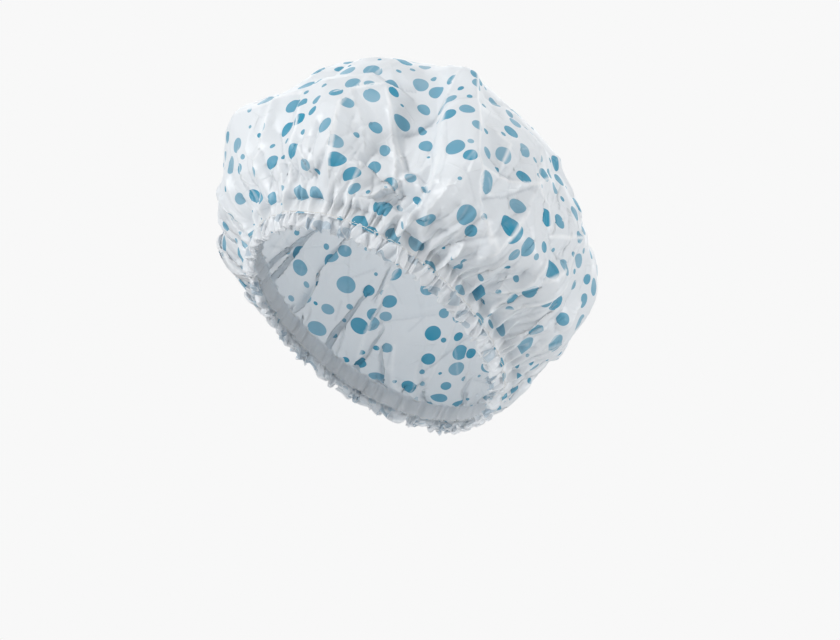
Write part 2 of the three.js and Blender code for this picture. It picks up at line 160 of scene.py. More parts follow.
# Valleys of the gathers: one in so many, counted from which one, and how many mm these run up the crown; how
# far the others run; the most on the smooth part, which keeps less than this share of its spare film
VALLEY_RUNS = ((16, 7, 120.0), (8, 3, 62.0), (4, 1, 34.0))
SHORT_RUN = 17.0
SMOOTH_RUN = 30.0
SMOOTH_SHARE = 0.4
# The long deep valley at the front: azimuth in degrees, run in mm, drift in degrees for each 100 mm, depth
MAIN_VALLEY = (44, 125, -17, 1.7)
# Shape of the valleys: the share of its run over which one fades, the share of the spare film that they
# start with, the deepest in mm, the ease from the seam in mm, and the width of a shallow one in mm with what
# each mm of depth adds to it
VALLEY_FADE = 0.12
VALLEY_START = 0.5
VALLEY_DEEPEST = 13
VALLEY_EASE = 5
VALLEY_WIDTH = (1.5, 0.35)
# Gathers round the rim, the rings of the film's two meshes, and the flat disc's slack over the crown's form
GATHERS = 70
COARSE_RINGS = 80
FINE_RINGS = 160
FILM_SLACK = 1.02
# Steps that the film is relaxed for: for its folds, for its creases, and after its facets are laid on
COARSE_STEPS = 400
FINE_STEPS = 90
LAST_STEPS = 3
# How far the film moves in each step, and how stiff its bends are beside its stretch, in folds and in facets
RELAX_RATE = 1.6
FOLD_STIFFNESS = 0.3
FACET_STIFFNESS = 0.05
# Push of the puffed air at each step, and how far a point may lie outside, inside and along the crown's form
AIR_PUSH = 0.03
OUTWARD_ROOM = 0.8
INWARD_ROOM = 8.0
SLIDE_ROOM = 16.0
# Crumpled film: the spacing of its facets' corners, how much they differ in height, and where above the seam
# the facets begin and over what distance they grow whole
FACET = 29.0
FACET_RISE = 2.3
FACET_START = 6.0
FACET_EASE = 20.0
# Step across a fold: how soft its edge is, the shares of it that stand proud on one side and drop under on
# the other, and how far each reaches
STEP_EDGE = 1.3
STEP_PROUD = 0.25
STEP_UNDER = 0.75
PROUD_REACH = 22.0
UNDER_REACH = 15.0
# How near a fold a mesh point is drawn onto it, where above the seam the folds begin, and over what distance
# they grow whole
FOLD_CATCH = 0.58
FOLD_START = 3.0
FOLD_EASE = 12.0
# Painted lines along the folds, a painted highlight on a ridge and painted shade in a valley: half width on a
# ridge and in a valley, the height and the step that make a line full, the least strength of a line, and at
# how many half widths a line has faded out
LINE_HALF = (1.3, 0.95)
LINE_HEIGHT = 4.0
LINE_STEP = 8.0
LINE_LEAST = 0.15
LINE_EDGE = 1.3
# Pleats over the casing: height at the lower seam, reach up the crown, and the offset and height of the bend
SEAM_PLEAT = 0.9
PLEAT_REACH = 30.0
PLEAT_BEND = (7.5, 17.5)
# Heights of the rows of points down the casing
CASING_ROWS = (21.1, 20.5, 19.6, 18.4, 16.6, 14.6, 12.6, 11.2, 10.5, 10.0, 9.4, 8.8)


# Curves and surfaces of the cap

# Length along the rim's ellipse at small steps of its angle, from the front
rim_turn = np.linspace(0, 2 * np.pi, 4001)
rim_step = np.hypot(
    np.diff(OPENING_HALF_WIDTH * np.sin(rim_turn)),
    np.diff(OPENING_HALF_LENGTH * np.cos(rim_turn)),
)
rim_run = np.concatenate([[0], np.cumsum(rim_step)])
RIM_LENGTH = rim_run[-1]


def slow_waves(share, counts, seed):
    """Unit-strength wander round the rim: a sum of whole-number cosine waves of random phase and height."""
    source = np.random.default_rng(seed)
    heights = source.normal(size=len(counts))
    heights /= np.sqrt((heights ** 2).sum() / 2)
    starts = source.random(len(counts))
    waves = [h * np.cos(2 * np.pi * (n * share + s)) for n, h, s in zip(counts, heights, starts)]
    return sum(waves)


def slanting_waves(share, down, counts, seed):
    """Crumple of a strip: waves round the rim as above, each slanting one way or the other going down."""
    source = np.random.default_rng(seed)
    slants = source.uniform(-1.3, 1.3, len(counts))
    starts = source.random(len(counts))
    waves = [np.cos(2 * np.pi * (n * share + m * down + s)) for n, m, s in zip(counts, slants, starts)]
    return sum(waves) * math.sqrt(2 / len(counts))


def rim_turn_at(share):
    """Ellipse angle at a share of the rim's length: 0 at the front, growing towards +X."""
    return np.interp(np.mod(share, 1) * RIM_LENGTH, rim_run, rim_turn)


def rim_point(share, offset, height):
    """Point at a share of the rim ellipse's length, moved along the ellipse's outward normal, at a height."""
    turn = rim_turn_at(share)
    normal = np.stack([np.sin(turn) / OPENING_HALF_WIDTH, -np.cos(turn) / OPENING_HALF_LENGTH])
    normal = normal / np.linalg.norm(normal, axis=0)
    across = OPENING_HALF_WIDTH * np.sin(turn) + normal[0] * offset
    along = -OPENING_HALF_LENGTH * np.cos(turn) + normal[1] * offset
    return np.stack(np.broadcast_arrays(across, along, height), -1)


def lap_share(share):
    """1 beside the elastic's lap at the back, easing to 0 on either side of it."""
    distance = np.abs(np.mod(share, 1) - 0.5) * RIM_LENGTH
    return np.clip(1 - (distance - ELASTIC_LAP / 2) / LAP_EASE, 0, 1)


def ply_offset(share, height):
    """Distance of a casing ply from the elastic's centre line; the plies close above the channel."""
    channel = PLY_OFFSET + LAP_BULGE * lap_share(share)
    closing = np.clip((height - CHANNEL_TOP_Z) / (CASING_TOP_Z - CHANNEL_TOP_Z), 0, 1)
    return channel + (CLOSED_OFFSET - channel) * closing


def gather_phase(share):
    """Count of gathers from the front to a share of the rim, unevenly spread by waves of many lengths."""
    slow = 0.45 * slow_waves(share, (3, 5, 9, 14, 19), 11)
    return GATHERS * share + slow + 0.13 * slow_waves(share, (29, 37, 45), 13)


def gather_pleat(share):
    """Pleat of the gathered film at the rim: 0 in a sharp valley and about 1 on a round crest, uneven in
    height."""
    crest = np.abs(np.cos(np.pi * gather_phase(share))) ** 0.8
    variety = 0.76 + 0.42 * slow_waves(share, (13, 19, 29, 37, 53, 71), 12)
    return crest * np.clip(variety, 0.15, 1.45)


def direction(azimuth, elevation):
    """Unit vector at an azimuth from the front and an elevation, both in degrees."""
    turn = np.radians(azimuth)
    lift = np.radians(elevation)
    return np.array([np.cos(lift) * np.sin(turn), -np.cos(lift) * np.cos(turn), np.sin(lift)])


def crease_height(azimuth, level):
    """Sum of bell-shaped ridges or valleys, each along a straight line of azimuth and level."""
    total = np.zeros(np.shape(level))
    for start, end, height, width in CREASES:
        along = np.clip((level - start[1]) / (end[1] - start[1]), 0, 1)
        line_azimuth = start[0] + (end[0] - start[0]) * along
        line_level = start[1] + (end[1] - start[1]) * along
        turn = np.mod(azimuth - line_azimuth + 180, 360) - 180
        away = np.hypot(turn * np.cos(np.radians(level)), level - line_level)
        total = total + height * np.exp(-((away / width) ** 2))
    return total


def crown_form(azimuth, level, creases=True):
    """Smooth crown: a quarter ellipse from the casing out to the equator, half an ellipsoid above,
    and bell-shaped peaks and creases pushed out from the crown's centre."""
    angle = np.radians(level)
    below = level < 0
    draw = np.where(below, 1 - np.cos(angle), 0)
    shrink = np.where(below, 1, np.cos(angle))
    half_width = CROWN_HALF_WIDTH + (OPENING_HALF_WIDTH + RIM_CLEARANCE - CROWN_HALF_WIDTH) * draw
    half_length = CROWN_HALF_LENGTH + (OPENING_HALF_LENGTH + RIM_CLEARANCE - CROWN_HALF_LENGTH) * draw
    turn = np.radians(azimuth)
    point = np.stack([
        CROWN_SHIFT[0] * (1 - draw) + half_width * shrink * np.sin(turn),
        CROWN_SHIFT[1] * (1 - draw) - half_length * shrink * np.cos(turn),
        EQUATOR_Z + np.where(below, EQUATOR_RISE, DOME_HEIGHT) * np.sin(angle),
    ], -1)
    outwards = point - np.array([CROWN_SHIFT[0], CROWN_SHIFT[1], EQUATOR_Z])
    outwards = outwards / np.linalg.norm(outwards, axis=-1, keepdims=True)
    height = crease_height(azimuth, level) if creases else np.zeros(np.shape(level))
    for peak_azimuth, elevation, peak_height, spread in PEAKS:
        near = np.clip(outwards @ direction(peak_azimuth, elevation), -1, 1)
        height = height + peak_height * np.exp(-((np.degrees(np.arccos(near)) / spread) ** 2))
    return point + outwards * (height * (1 - draw))[..., None]


def crown_normal(azimuth, level):
    """Outward direction of the smooth crown, from two small steps across it."""
    around = crown_form(azimuth + 1, level, False) - crown_form(azimuth - 1, level, False)
    high = crown_form(azimuth, np.minimum(level + 1, 89), False)
    low = crown_form(azimuth, np.maximum(level - 1, -90), False)
    normal = np.cross(around, high - low)
    return normal / np.maximum(np.linalg.norm(normal, axis=-1, keepdims=True), 1e-9)


def band_faces(rows, columns, first=0):
    """Faces of a grid of rows from the top down, closed round its columns, facing outwards, whose points are
    numbered row by row from the first one."""
    place = np.arange(columns)
    after = np.mod(place + 1, columns)
    upper = first + columns * np.arange(rows - 1)[:, None]
    quads = np.stack([upper + place, upper + columns + place, upper + columns + after, upper + after], -1)
    return quads.reshape(-1, 4).tolist()


# Film of the crown: a flat disc, laid on the crown's form and relaxed to its flat lengths

def disc_mesh(rings):
    """Even triangle mesh of a disc: ring k has 6k points; gives each point's ring and share of a turn."""
    ring = np.concatenate([[0.0]] + [np.full(6 * k, float(k)) for k in range(1, rings + 1)])
    share = np.concatenate([[0.0]] + [np.arange(6 * k) / (6 * k) for k in range(1, rings + 1)])
    first = np.concatenate([[0, 1], 1 + np.cumsum(6 * np.arange(1, rings + 1))])
    triangles = []
    for k in range(1, rings + 1):
        place = np.arange(6 * k)
        inner_count = max(6 * (k - 1), 1)
        inner = np.mod(place - place // k, inner_count)
        after = np.mod(place + 1, 6 * k)
        triangles.append(np.stack([first[k] + place, first[k] + after, first[k - 1] + inner], 1))
        if k > 1:
            place = np.arange(inner_count)
            outer = np.mod(place + place // (k - 1) + 1, 6 * k)
            after = np.mod(place + 1, inner_count)
            triangles.append(np.stack([first[k - 1] + place, first[k] + outer, first[k - 1] + after], 1))
    return ring, share, np.concatenate(triangles)


def links_of(triangles):
    """The mesh's edges, and across each edge the pair of points that face each other."""
    sides = np.concatenate([triangles[:, [0, 1]], triangles[:, [1, 2]], triangles[:, [2, 0]]])
    facing = np.concatenate([triangles[:, 2], triangles[:, 0], triangles[:, 1]])
    sides = np.sort(sides, 1)
    order = np.lexsort((sides[:, 1], sides[:, 0]))
    sides = sides[order]
    facing = facing[order]
    twin = np.all(sides[1:] == sides[:-1], axis=1)
    pairs = np.stack([facing[:-1][twin], facing[1:][twin]], 1)
    return sides[np.concatenate([[True], ~twin])], pairs


def table_at(table, row, column):
    """Value at a place between the rows and columns of a table, straight between the four nearest."""
    row = np.clip(row, 0, table.shape[0] - 1 - 1e-6)
    column = np.clip(column, 0, table.shape[1] - 1 - 1e-6)
    low = row.astype(int)
    left = column.astype(int)
    up = row - low
    side = column - left
    here = table[low, left] * (1 - side) + table[low, left + 1] * side
    above = table[low + 1, left] * (1 - side) + table[low + 1, left + 1] * side
    return here * (1 - up) + above * up


def meridian_levels(azimuth, share_up):
    """Level at a share of the crown's meridian, by length from the casing to the top, at an azimuth."""
    columns = 180
    shares = 200
    levels = np.linspace(-90, 90, 400)
    column_azimuth = np.arange(columns + 1)[:, None] * 360 / columns
    points = crown_form(column_azimuth, np.broadcast_to(levels, (columns + 1, len(levels))), False)
    run = np.linalg.norm(np.diff(points, axis=1), axis=-1).cumsum(1)
    run = np.concatenate([np.zeros((columns + 1, 1)), run], 1)
    wanted = np.linspace(0, 1, shares + 1)
    table = np.stack([np.interp(wanted, row / row[-1], levels) for row in run])
    return table_at(table, azimuth / 360 * columns, share_up * shares), run[:, -1].mean()


def film_spread(azimuth):
    """Share of the disc's spare film that stays on the crown at an azimuth: little on the puffed front and
    left, much at the back; the rest is drawn down into the pleats beside the seam."""
    turn = np.abs(np.mod(azimuth - SMOOTH_MIDDLE + 180, 360) - 180)
    back = np.clip((turn - SMOOTH_HALF) / SMOOTH_EASE, 0, 1)
    return FRONT_SPREAD + (BACK_SPREAD - FRONT_SPREAD) * back * back * (3 - 2 * back)


def valley_lines():
    """Valleys of the gathers: where each one leaves the rim, how far up the crown it runs in mm, how it
    drifts sideways in degrees for each 100 mm, and how deep it is. Most are short and a few are long;
    one long deep fold lies at the front, and the sides of it are left broad and smooth."""
    source = np.random.default_rng(21)
    fine = np.linspace(0, 1, 20001)
    share = np.interp(np.arange(GATHERS) + 0.5, gather_phase(fine) - gather_phase(0.0), fine)
    number = np.arange(GATHERS)
    kinds = [number % every == start for every, start, _ in VALLEY_RUNS]
    reach = np.select(kinds, [run for _, _, run in VALLEY_RUNS], SHORT_RUN)
    reach = reach * np.exp(0.3 * source.normal(size=GATHERS))
    drift = 9 * source.normal(size=GATHERS)
    depth = np.clip(1 + 0.3 * source.normal(size=GATHERS), 0.5, 1.6)
    azimuth = np.degrees(rim_turn_at(share))
    reach = np.where(film_spread(azimuth) < SMOOTH_SHARE, np.minimum(reach, SMOOTH_RUN), reach)
    main = np.argmin(np.abs(azimuth - MAIN_VALLEY[0]))
    reach[main], drift[main], depth[main] = MAIN_VALLEY[1:]
    return azimuth, reach, drift, depth


def fold_valleys(ring, azimuth, radius, round_length):
    """Starting folds: each valley is a bell across and fades out along its length, and all the valleys
    at one distance from the seam together hold the film that the smooth form has no room for."""
    disc_length = 2 * np.pi * radius * ring / ring.max()
    excess = film_spread(azimuth) * np.maximum(disc_length - round_length[ring.astype(int)], 0)
    from_seam = (1 - ring / ring.max()) * radius
    line_azimuth, reach, drift, depth = valley_lines()
    fade = 1 / (1 + np.exp((from_seam[:, None] - reach) / (VALLEY_FADE * reach)))
    alive = fade.sum(1)
    each = np.clip(VALLEY_START * excess / np.maximum(alive, 1), 0, VALLEY_DEEPEST)
    each = each * np.clip(from_seam / VALLEY_EASE, 0, 1)
    middle = line_azimuth + drift * from_seam[:, None] / 100
    turn = np.mod(azimuth[:, None] - middle + 180, 360) - 180
    away = turn / 360 * round_length[ring.astype(int)][:, None]
    width = (VALLEY_WIDTH[0] + VALLEY_WIDTH[1] * each)[:, None]
    return -(each[:, None] * depth * fade * np.exp(-((away / width) ** 2))).sum(1)


def fold_effect(point, normal, line, height, width, step):
    """A fold along a line of points on the film: a cusp that falls off with distance, and a step across the
    line, where the film drops under it on the left and stands a little proud on the right. Gives the points
    that it reaches, their rise, and their way along the film to the line."""
    starts = line[:-1]
    ways = line[1:] - starts
    reach = 4 * width + 2 * abs(step)
    middle = 0.5 * (line.min(0) + line.max(0))
    half_size = np.linalg.norm(line - middle, axis=1).max()
    near = np.flatnonzero(np.linalg.norm(point - middle, axis=1) < reach + half_size)
    outward = normal[near]
    from_start = point[near][:, None] - starts
    along = np.clip((from_start * ways).sum(2) / (ways ** 2).sum(1), 0, 1)
    away = from_start - along[..., None] * ways
    away = away - outward[:, None] * (away * outward[:, None]).sum(2)[..., None]
    distance = np.linalg.norm(away, axis=2)
    nearest = distance.argmin(1)
    every = np.arange(len(near))
    distance = distance[every, nearest]
    away = away[every, nearest]
    right = np.cross(ways[nearest], outward)
    right /= np.maximum(np.linalg.norm(right, axis=1, keepdims=True), 1e-9)
    edge = 0.5 + 0.5 * np.tanh((away * right).sum(1) / STEP_EDGE)
    proud = STEP_PROUD * edge * np.exp(-distance / PROUD_REACH)
    under = STEP_UNDER * (1 - edge) * np.exp(-distance / UNDER_REACH)
    return near, height * np.exp(-distance / width) + step * (proud - under), -away


def crumpled_facets(flat, spacing, height, seed):
    """Facets of crumpled film: the flat film is split into triangles between the jittered corners of a
    lattice, each corner stands at a random height, and each triangle is flat between its corners."""
    source = np.random.default_rng(seed)
    reach = int(np.abs(flat).max() / spacing * 1.8) + 2
    row, column = np.mgrid[-reach:reach + 1, -reach:reach + 1]
    corner = spacing * np.stack([column + 0.5 * row, math.sqrt(0.75) * row], -1)
    corner = corner + spacing * source.uniform(-0.36, 0.36, corner.shape)
    rise = height * (np.clip(source.normal(size=row.shape), -1.2, 0.9) - 0.5)
    lower_left = (slice(None, -1), slice(None, -1))
    lower_right = (slice(None, -1), slice(1, None))
    upper_left = (slice(1, None), slice(None, -1))
    upper_right = (slice(1, None), slice(1, None))
    halves = ((lower_left, lower_right, upper_left), (upper_right, upper_left, lower_right))
    places = np.concatenate([np.stack([corner[k] for k in half], 2).reshape(-1, 3, 2) for half in halves])
    rises = np.concatenate([np.stack([rise[k] for k in half], 2).reshape(-1, 3) for half in halves])
    near = (places.min(1) < flat.max()).all(1) & (places.max(1) > flat.min()).all(1)
    total = np.zeros(len(flat))
    for (first, second, third), heights in zip(places[near], rises[near]):
        low = np.minimum(np.minimum(first, second), third)
        high = np.maximum(np.maximum(first, second), third)
        inside = np.flatnonzero(((flat >= low) & (flat <= high)).all(1))
        shares = np.linalg.solve(np.stack([second - first, third - first], 1), (flat[inside] - first).T)
        held = (shares.min(0) >= -1e-9) & (shares.sum(0) <= 1 + 1e-9)
        rises_here = heights[0] + (heights[1:] - heights[0]) @ shares
        total[inside[held]] = rises_here[held]
    return total


def handling_creases(base, rings, radius):
    """Short straight creases at random places of the film: points on the crown, height and width of each, and
    no step."""
    source = np.random.default_rng(36)
    count = HANDLING_CREASES
    distance = 0.9 * radius * np.sqrt(source.random(count))
    turn = 2 * np.pi * source.random(count)
    middle = np.stack([distance * np.sin(turn), -distance * np.cos(turn)], 1)
    heading = 2 * np.pi * source.random(count)
    # most are about 22 mm long
    half_length = 0.5 * np.exp(source.normal(3.1, 0.4, count))
    half = half_length[:, None] * np.stack([np.sin(heading), np.cos(heading)], 1)
    height = source.choice((-1.1, 0.6), count) * source.uniform(0.5, 1.9, count)
    width = source.uniform(2.5, 6.0, count)
    stops = middle[:, None] + half[:, None] * np.array([-1, 0, 1])[:, None]
    place = np.minimum(np.linalg.norm(stops, axis=2) / radius, 0.93) * rings
    share = np.mod(np.arctan2(stops[..., 0], -stops[..., 1]) / (2 * np.pi), 1)
    ends = film_between(base, rings, place.ravel(), share.ravel()).reshape(count, 3, 3)
    return zip(ends, height, width, np.zeros(count))


def gather_creases(base, rings, radius):
    """Creases from the seam up the crown, each leaning a little: points on the crown, height and width of
    each, and no step."""
    source = np.random.default_rng(37)
    count = GATHER_CREASES
    share = (np.arange(count) + source.uniform(-0.45, 0.45, count)) / count
    # most reach about 33 mm up the crown
    reach = np.exp(source.normal(3.5, 0.4, count))[:, None] * np.array([0.12, 0.55, 1.0])
    lean = source.normal(0, 0.22, count)[:, None] * reach / RIM_LENGTH
    height = source.choice((-1, -1, 1), count) * source.uniform(0.8, 2.6, count)
    width = source.uniform(2.0, 4.0, count)
    place = (1 - reach / radius) * rings
    ends = film_between(base, rings, place.ravel(), (share[:, None] + lean).ravel()).reshape(count, 3, 3)
    return zip(ends, height, width, np.zeros(count))


def tuck_line(line):
    """Points of azimuth and level along a tuck, every four degrees of level."""
    azimuths, levels = np.array(line, dtype=float).T
    along = np.arange(levels[0], levels[-1], 4.0)
    return np.interp(along, levels, azimuths), along


def line_strength(height, step, distance, kind):
    """Strength of the line along a fold, at a distance from it: fullest on a high or well stepped fold."""
    sharp = np.clip(abs(height) / LINE_HEIGHT + abs(step) / LINE_STEP, LINE_LEAST, 1)
    return sharp * np.clip(LINE_EDGE - distance / LINE_HALF[kind], 0, 1)


def fold_all(base, normal, ring, rings, radius):
    """All the folds, creases and tucks together: rise of each point, its move along the film to the nearest
    fold where that is near enough, how strong a ridge and a valley are there, and the number of the tuck it
    lies on, or -1."""
    drawn = [(crown_form(*np.array(line, dtype=float).T, False), *sizes) for line, *sizes in FOLDS]
    rise = np.zeros(len(base))
    move = np.zeros(base.shape)
    closest = np.full(len(base), FOLD_CATCH)
    strength = np.zeros((2, len(base)))
    small = [*handling_creases(base, rings, radius), *gather_creases(base, rings, radius)]
    for line, height, width, step in drawn + small:
        near, lift, way = fold_effect(base, normal, line, height, width, step)
        rise[near] += lift
        distance = np.linalg.norm(way, axis=1)
        nearer = distance < closest[near]
        caught = near[nearer]
        closest[caught] = distance[nearer]
        move[caught] = way[nearer]
        kind = 0 if height > 0 else 1
        sharp = line_strength(height, step, distance, kind)
        strength[kind, near] = np.maximum(strength[kind, near], sharp)
    tucked = np.full(len(base), -1)
    for number, (line, step) in enumerate(TUCKS):
        drawn_line = crown_form(*tuck_line(line), False)
        near, lift, way = fold_effect(base, normal, drawn_line, TUCK_HEIGHT, TUCK_WIDTH, step)
        rise[near] += lift
        distance = np.linalg.norm(way, axis=1)
        nearer = distance < FOLD_CATCH
        caught = near[nearer]
        move[caught] = way[nearer]
        tucked[caught] = number
        strength[0, near] = np.maximum(strength[0, near], line_strength(TUCK_HEIGHT, step, distance, 0))
    fade = np.clip((radius * (1 - ring / rings) - FOLD_START) / FOLD_EASE, 0, 1)
    return rise * fade, move * fade[:, None], strength * fade, tucked


def gore_of(corners, azimuth, level, tucked):
    """Gore of film that each face lies in: the one whose tuck is the nearest on the face's left."""
    nearest = np.full(len(corners), 360.0)
    gore = np.zeros(len(corners), dtype=int)
    for number, (line, _) in enumerate(TUCKS):
        azimuths, levels = np.array(line, dtype=float).T
        away = np.mod(azimuth - np.interp(level, levels, azimuths) + 180, 360) - 180
        away = np.where(tucked == number, 0, away)[corners]
        middle = away.mean(1)
        nearer = (middle >= 0) & (middle < nearest) & (np.abs(away).max(1) < 90)
        nearest[nearer] = middle[nearer]
        gore[nearer] = number
    return gore


def arc_run(azimuth, level):
    """Length along the crown at a level, from half a turn before the front to an azimuth."""
    levels = np.arange(-90.0, 91.0)
    azimuths = np.arange(-180.0, 541.0)
    points = crown_form(*np.meshgrid(azimuths, levels), False)
    steps = np.linalg.norm(np.diff(points, axis=1), axis=-1).cumsum(1)
    table = np.concatenate([np.zeros((len(levels), 1)), steps], 1)
    return table_at(table, level - levels[0], azimuth - azimuths[0])


def film_print(corners, azimuth, level, flat_radius, slide, tucked):
    """Place on the flat disc of each corner of each face. Between two tucks the film is an unstretched strip
    along one radius of the disc, and the film between the strips is hidden in the tucks; near the top the
    strips join into the plain disc."""
    starts = [np.interp(0, *np.array(line, dtype=float).T[::-1]) for line, _ in TUCKS]
    middles = 0.5 * (np.array(starts) + np.array(starts[1:] + [starts[0] + 360]))
    middle = middles[gore_of(corners, azimuth, level, tucked)][:, None]
    turn = np.mod(azimuth[corners] - middle + 180, 360) - 180
    level = level[corners]
    across = arc_run(middle + turn, level) - arc_run(middle + 0 * turn, level) + slide[corners]
    distance = np.maximum(flat_radius[corners], 1e-3)
    rim_angle = 2 * np.pi * rim_run / RIM_LENGTH
    middle_angle = np.interp(np.radians(np.mod(middle, 360)), rim_turn, rim_angle)
    strip = middle_angle + across / (FILM_SHOWN * distance)
    disc_angle = np.interp(np.radians(np.mod(azimuth, 360)), rim_turn, rim_angle)
    disc = disc_angle[corners] + slide[corners] / distance
    whole = np.clip((distance - TUCK_START) / (TUCK_WHOLE - TUCK_START), 0, 1)
    whole = whole * whole * (3 - 2 * whole)
    angle = strip + (1 - whole) * (np.mod(disc - strip + np.pi, 2 * np.pi) - np.pi)
    return np.stack([distance * np.sin(angle), -distance * np.cos(angle)], -1).reshape(-1, 2)


def ring_lengths(ring, base):
    """Length of the smooth crown round each ring of the disc."""
    step = np.linalg.norm(np.roll(base, -1, 0) - base, axis=1)
    step = np.where(np.roll(ring, -1) == ring, step, 0)
    return np.maximum(np.bincount(ring.astype(int), step, int(ring.max()) + 1), 1e-6)


def film_drawn(ring, azimuth, radius, round_length):
    """Film's length round the crown at each point, as a share of the flat disc's length there."""
    disc_length = np.maximum(2 * np.pi * radius * ring / ring.max(), 1e-6)
    smooth = np.minimum(round_length[ring.astype(int)] / disc_length, 1)
    return np.where(ring > 0, smooth + (1 - smooth) * film_spread(azimuth), 1)


def film_lengths(flat, drawn, first, second):
    """Rest length between two points of the film: along the radius as cut, round the disc as drawn."""
    mean = 0.5 * (flat[first] + flat[second])
    size = np.maximum(np.linalg.norm(mean, axis=1, keepdims=True), 1e-6)
    outward = mean / size
    way = flat[second] - flat[first]
    along = (way * outward).sum(1)
    across = way[:, 1] * outward[:, 0] - way[:, 0] * outward[:, 1]
    return np.hypot(along, across * 0.5 * (drawn[first] + drawn[second]))


def relax_film(point, flat, drawn, triangles, base, normal, fixed, steps, bend):
    """Film at rest: every edge is moved towards its flat length and every bend towards flat, a little at
    a time, while the puffed air presses outwards and no point leaves the room round the crown's form."""
    sides, pairs = links_of(triangles)
    first = np.concatenate([sides[:, 0], pairs[:, 0]])
    second = np.concatenate([sides[:, 1], pairs[:, 1]])
    rest = film_lengths(flat, drawn, first, second)
    stiff = np.concatenate([np.ones(len(sides)), np.full(len(pairs), bend)])
    count = len(point)
    share = RELAX_RATE / (np.bincount(first, stiff, count) + np.bincount(second, stiff, count))
    free = np.where(fixed, 0.0, 1.0)[:, None]
    for _ in range(steps):
        way = point[second] - point[first]
        length = np.linalg.norm(way, axis=1)
        pull = way * (0.5 * stiff * (length - rest) / np.maximum(length, 1e-6))[:, None]
        move = [np.bincount(first, part, count) - np.bincount(second, part, count) for part in pull.T]
        point = point + free * (np.stack(move, 1) * share[:, None] + AIR_PUSH * normal)
        away = point - base
        height = (away * normal).sum(1)
        slide = away - normal * height[:, None]
        reach = np.linalg.norm(slide, axis=1)
        slide = slide * np.minimum(1, SLIDE_ROOM / np.maximum(reach, 1e-6))[:, None]
        height = np.clip(height, -INWARD_ROOM, OUTWARD_ROOM)
        point = np.where(fixed[:, None], point, base + slide + normal * height[:, None])
    return point


# Mean length of the crown's meridians, from the casing to the top
MERIDIAN = meridian_levels(np.zeros(1), np.zeros(1))[1]


def casing_outside(share, height):
    """Outer face of the casing's outer ply, in the valleys of its pleats."""
    return ply_offset(share, height) + FILM_THICKNESS


def pleat_crest(share, run):
    """Crest of a pleat at a distance along the film from the lower seam: a curve that leaves the seam,
    cuts the corner between the casing and the crown, and lands on the crown's underside."""
    along = np.clip(run / (CASING_TOP_Z - LOWER_SEAM_Z + PLEAT_REACH), 0, 1)[..., None]
    azimuth = np.degrees(rim_turn_at(share))
    level = meridian_levels(azimuth, np.full(np.shape(azimuth), PLEAT_REACH / MERIDIAN))[0]
    below = np.minimum(run, 0)
    foot = casing_outside(share, LOWER_SEAM_Z) + SEAM_PLEAT
    start = rim_point(share, foot + 0.5 * below, LOWER_SEAM_Z + below)
    bend = rim_point(share, *PLEAT_BEND)
    end = crown_form(azimuth, level)
    return (1 - along) ** 2 * start + 2 * along * (1 - along) * bend + along ** 2 * end


def pleated(valley, share, run):
    """Gathered film: points of the valleys' surface, lifted towards the crests by each pleat's height."""
    reach = PLEAT_REACH * np.clip(0.8 + 0.22 * slow_waves(share, (17, 25, 33, 47, 61), 14), 0.4, 1)
    fade = np.clip((CASING_TOP_Z - LOWER_SEAM_Z + reach - run) / (0.4 * PLEAT_REACH), 0, 1)
    lift = np.broadcast_to(gather_pleat(share) * fade, valley.shape[:-1])[..., None]
    return valley + (pleat_crest(share, run) - valley) * lift


def film_layout(rings):
    """Disc of film laid on the crown: its mesh, flat places and radius, the form's points and normals, the
    film's fullness, the points that the seam holds, and the form's length round each ring."""
    ring, share, triangles = disc_mesh(rings)
    azimuth = np.degrees(rim_turn_at(share))
    level, meridian = meridian_levels(azimuth, 1 - ring / rings)
    radius = meridian * FILM_SLACK
    flat_radius = ring / rings * radius
    flat = np.stack([flat_radius * np.sin(2 * np.pi * share), -flat_radius * np.cos(2 * np.pi * share)], 1)
    base = crown_form(azimuth, level)
    normal = crown_normal(azimuth, level)
    normal[0] = (0, 0, 1)
    round_length = ring_lengths(ring, base)
    drawn = film_drawn(ring, azimuth, radius, round_length)
    fixed = ring >= rings
    base[fixed] = rim_point(share[fixed], casing_outside(share[fixed], CASING_TOP_Z), CASING_TOP_Z)
    return ring, share, triangles, flat, radius, base, normal, drawn, fixed, round_length


def film_between(point, rings, place, share):
    """Place of any spot of the film, by ring and share, straight between the nearest points of two rings."""
    first = np.concatenate([[0, 1], 1 + np.cumsum(6 * np.arange(1, rings + 1))])

    def on_ring(k):
        """Point at the share on ring k, straight between its two nearest points."""
        count = np.maximum(6 * k, 1)
        spot = np.mod(share, 1) * count
        left = np.floor(spot).astype(int)
        part = (spot - left)[:, None]
        here = point[first[k] + np.mod(left, count)]
        after = point[first[k] + np.mod(left + 1, count)]
        return here * (1 - part) + after * part

    low = np.minimum(np.floor(place).astype(int), rings - 1)
    part = (place - low)[:, None]
    return on_ring(low) * (1 - part) + on_ring(low + 1) * part


def coarse_film():
    """Points of the film on its coarse mesh: folded in its valleys, a little uneven, and relaxed."""
    layout = film_layout(COARSE_RINGS)
    ring, share, triangles, flat, radius, base, normal, drawn, fixed, round_length = layout
    folds = fold_valleys(ring, np.degrees(rim_turn_at(share)), radius, round_length)
    point = base + normal * np.where(fixed, 0, folds)[:, None]
    point = point + np.random.default_rng(31).normal(scale=0.15, size=point.shape) * ~fixed[:, None]
    return relax_film(point, flat, drawn, triangles, base, normal, fixed, COARSE_STEPS, FOLD_STIFFNESS)


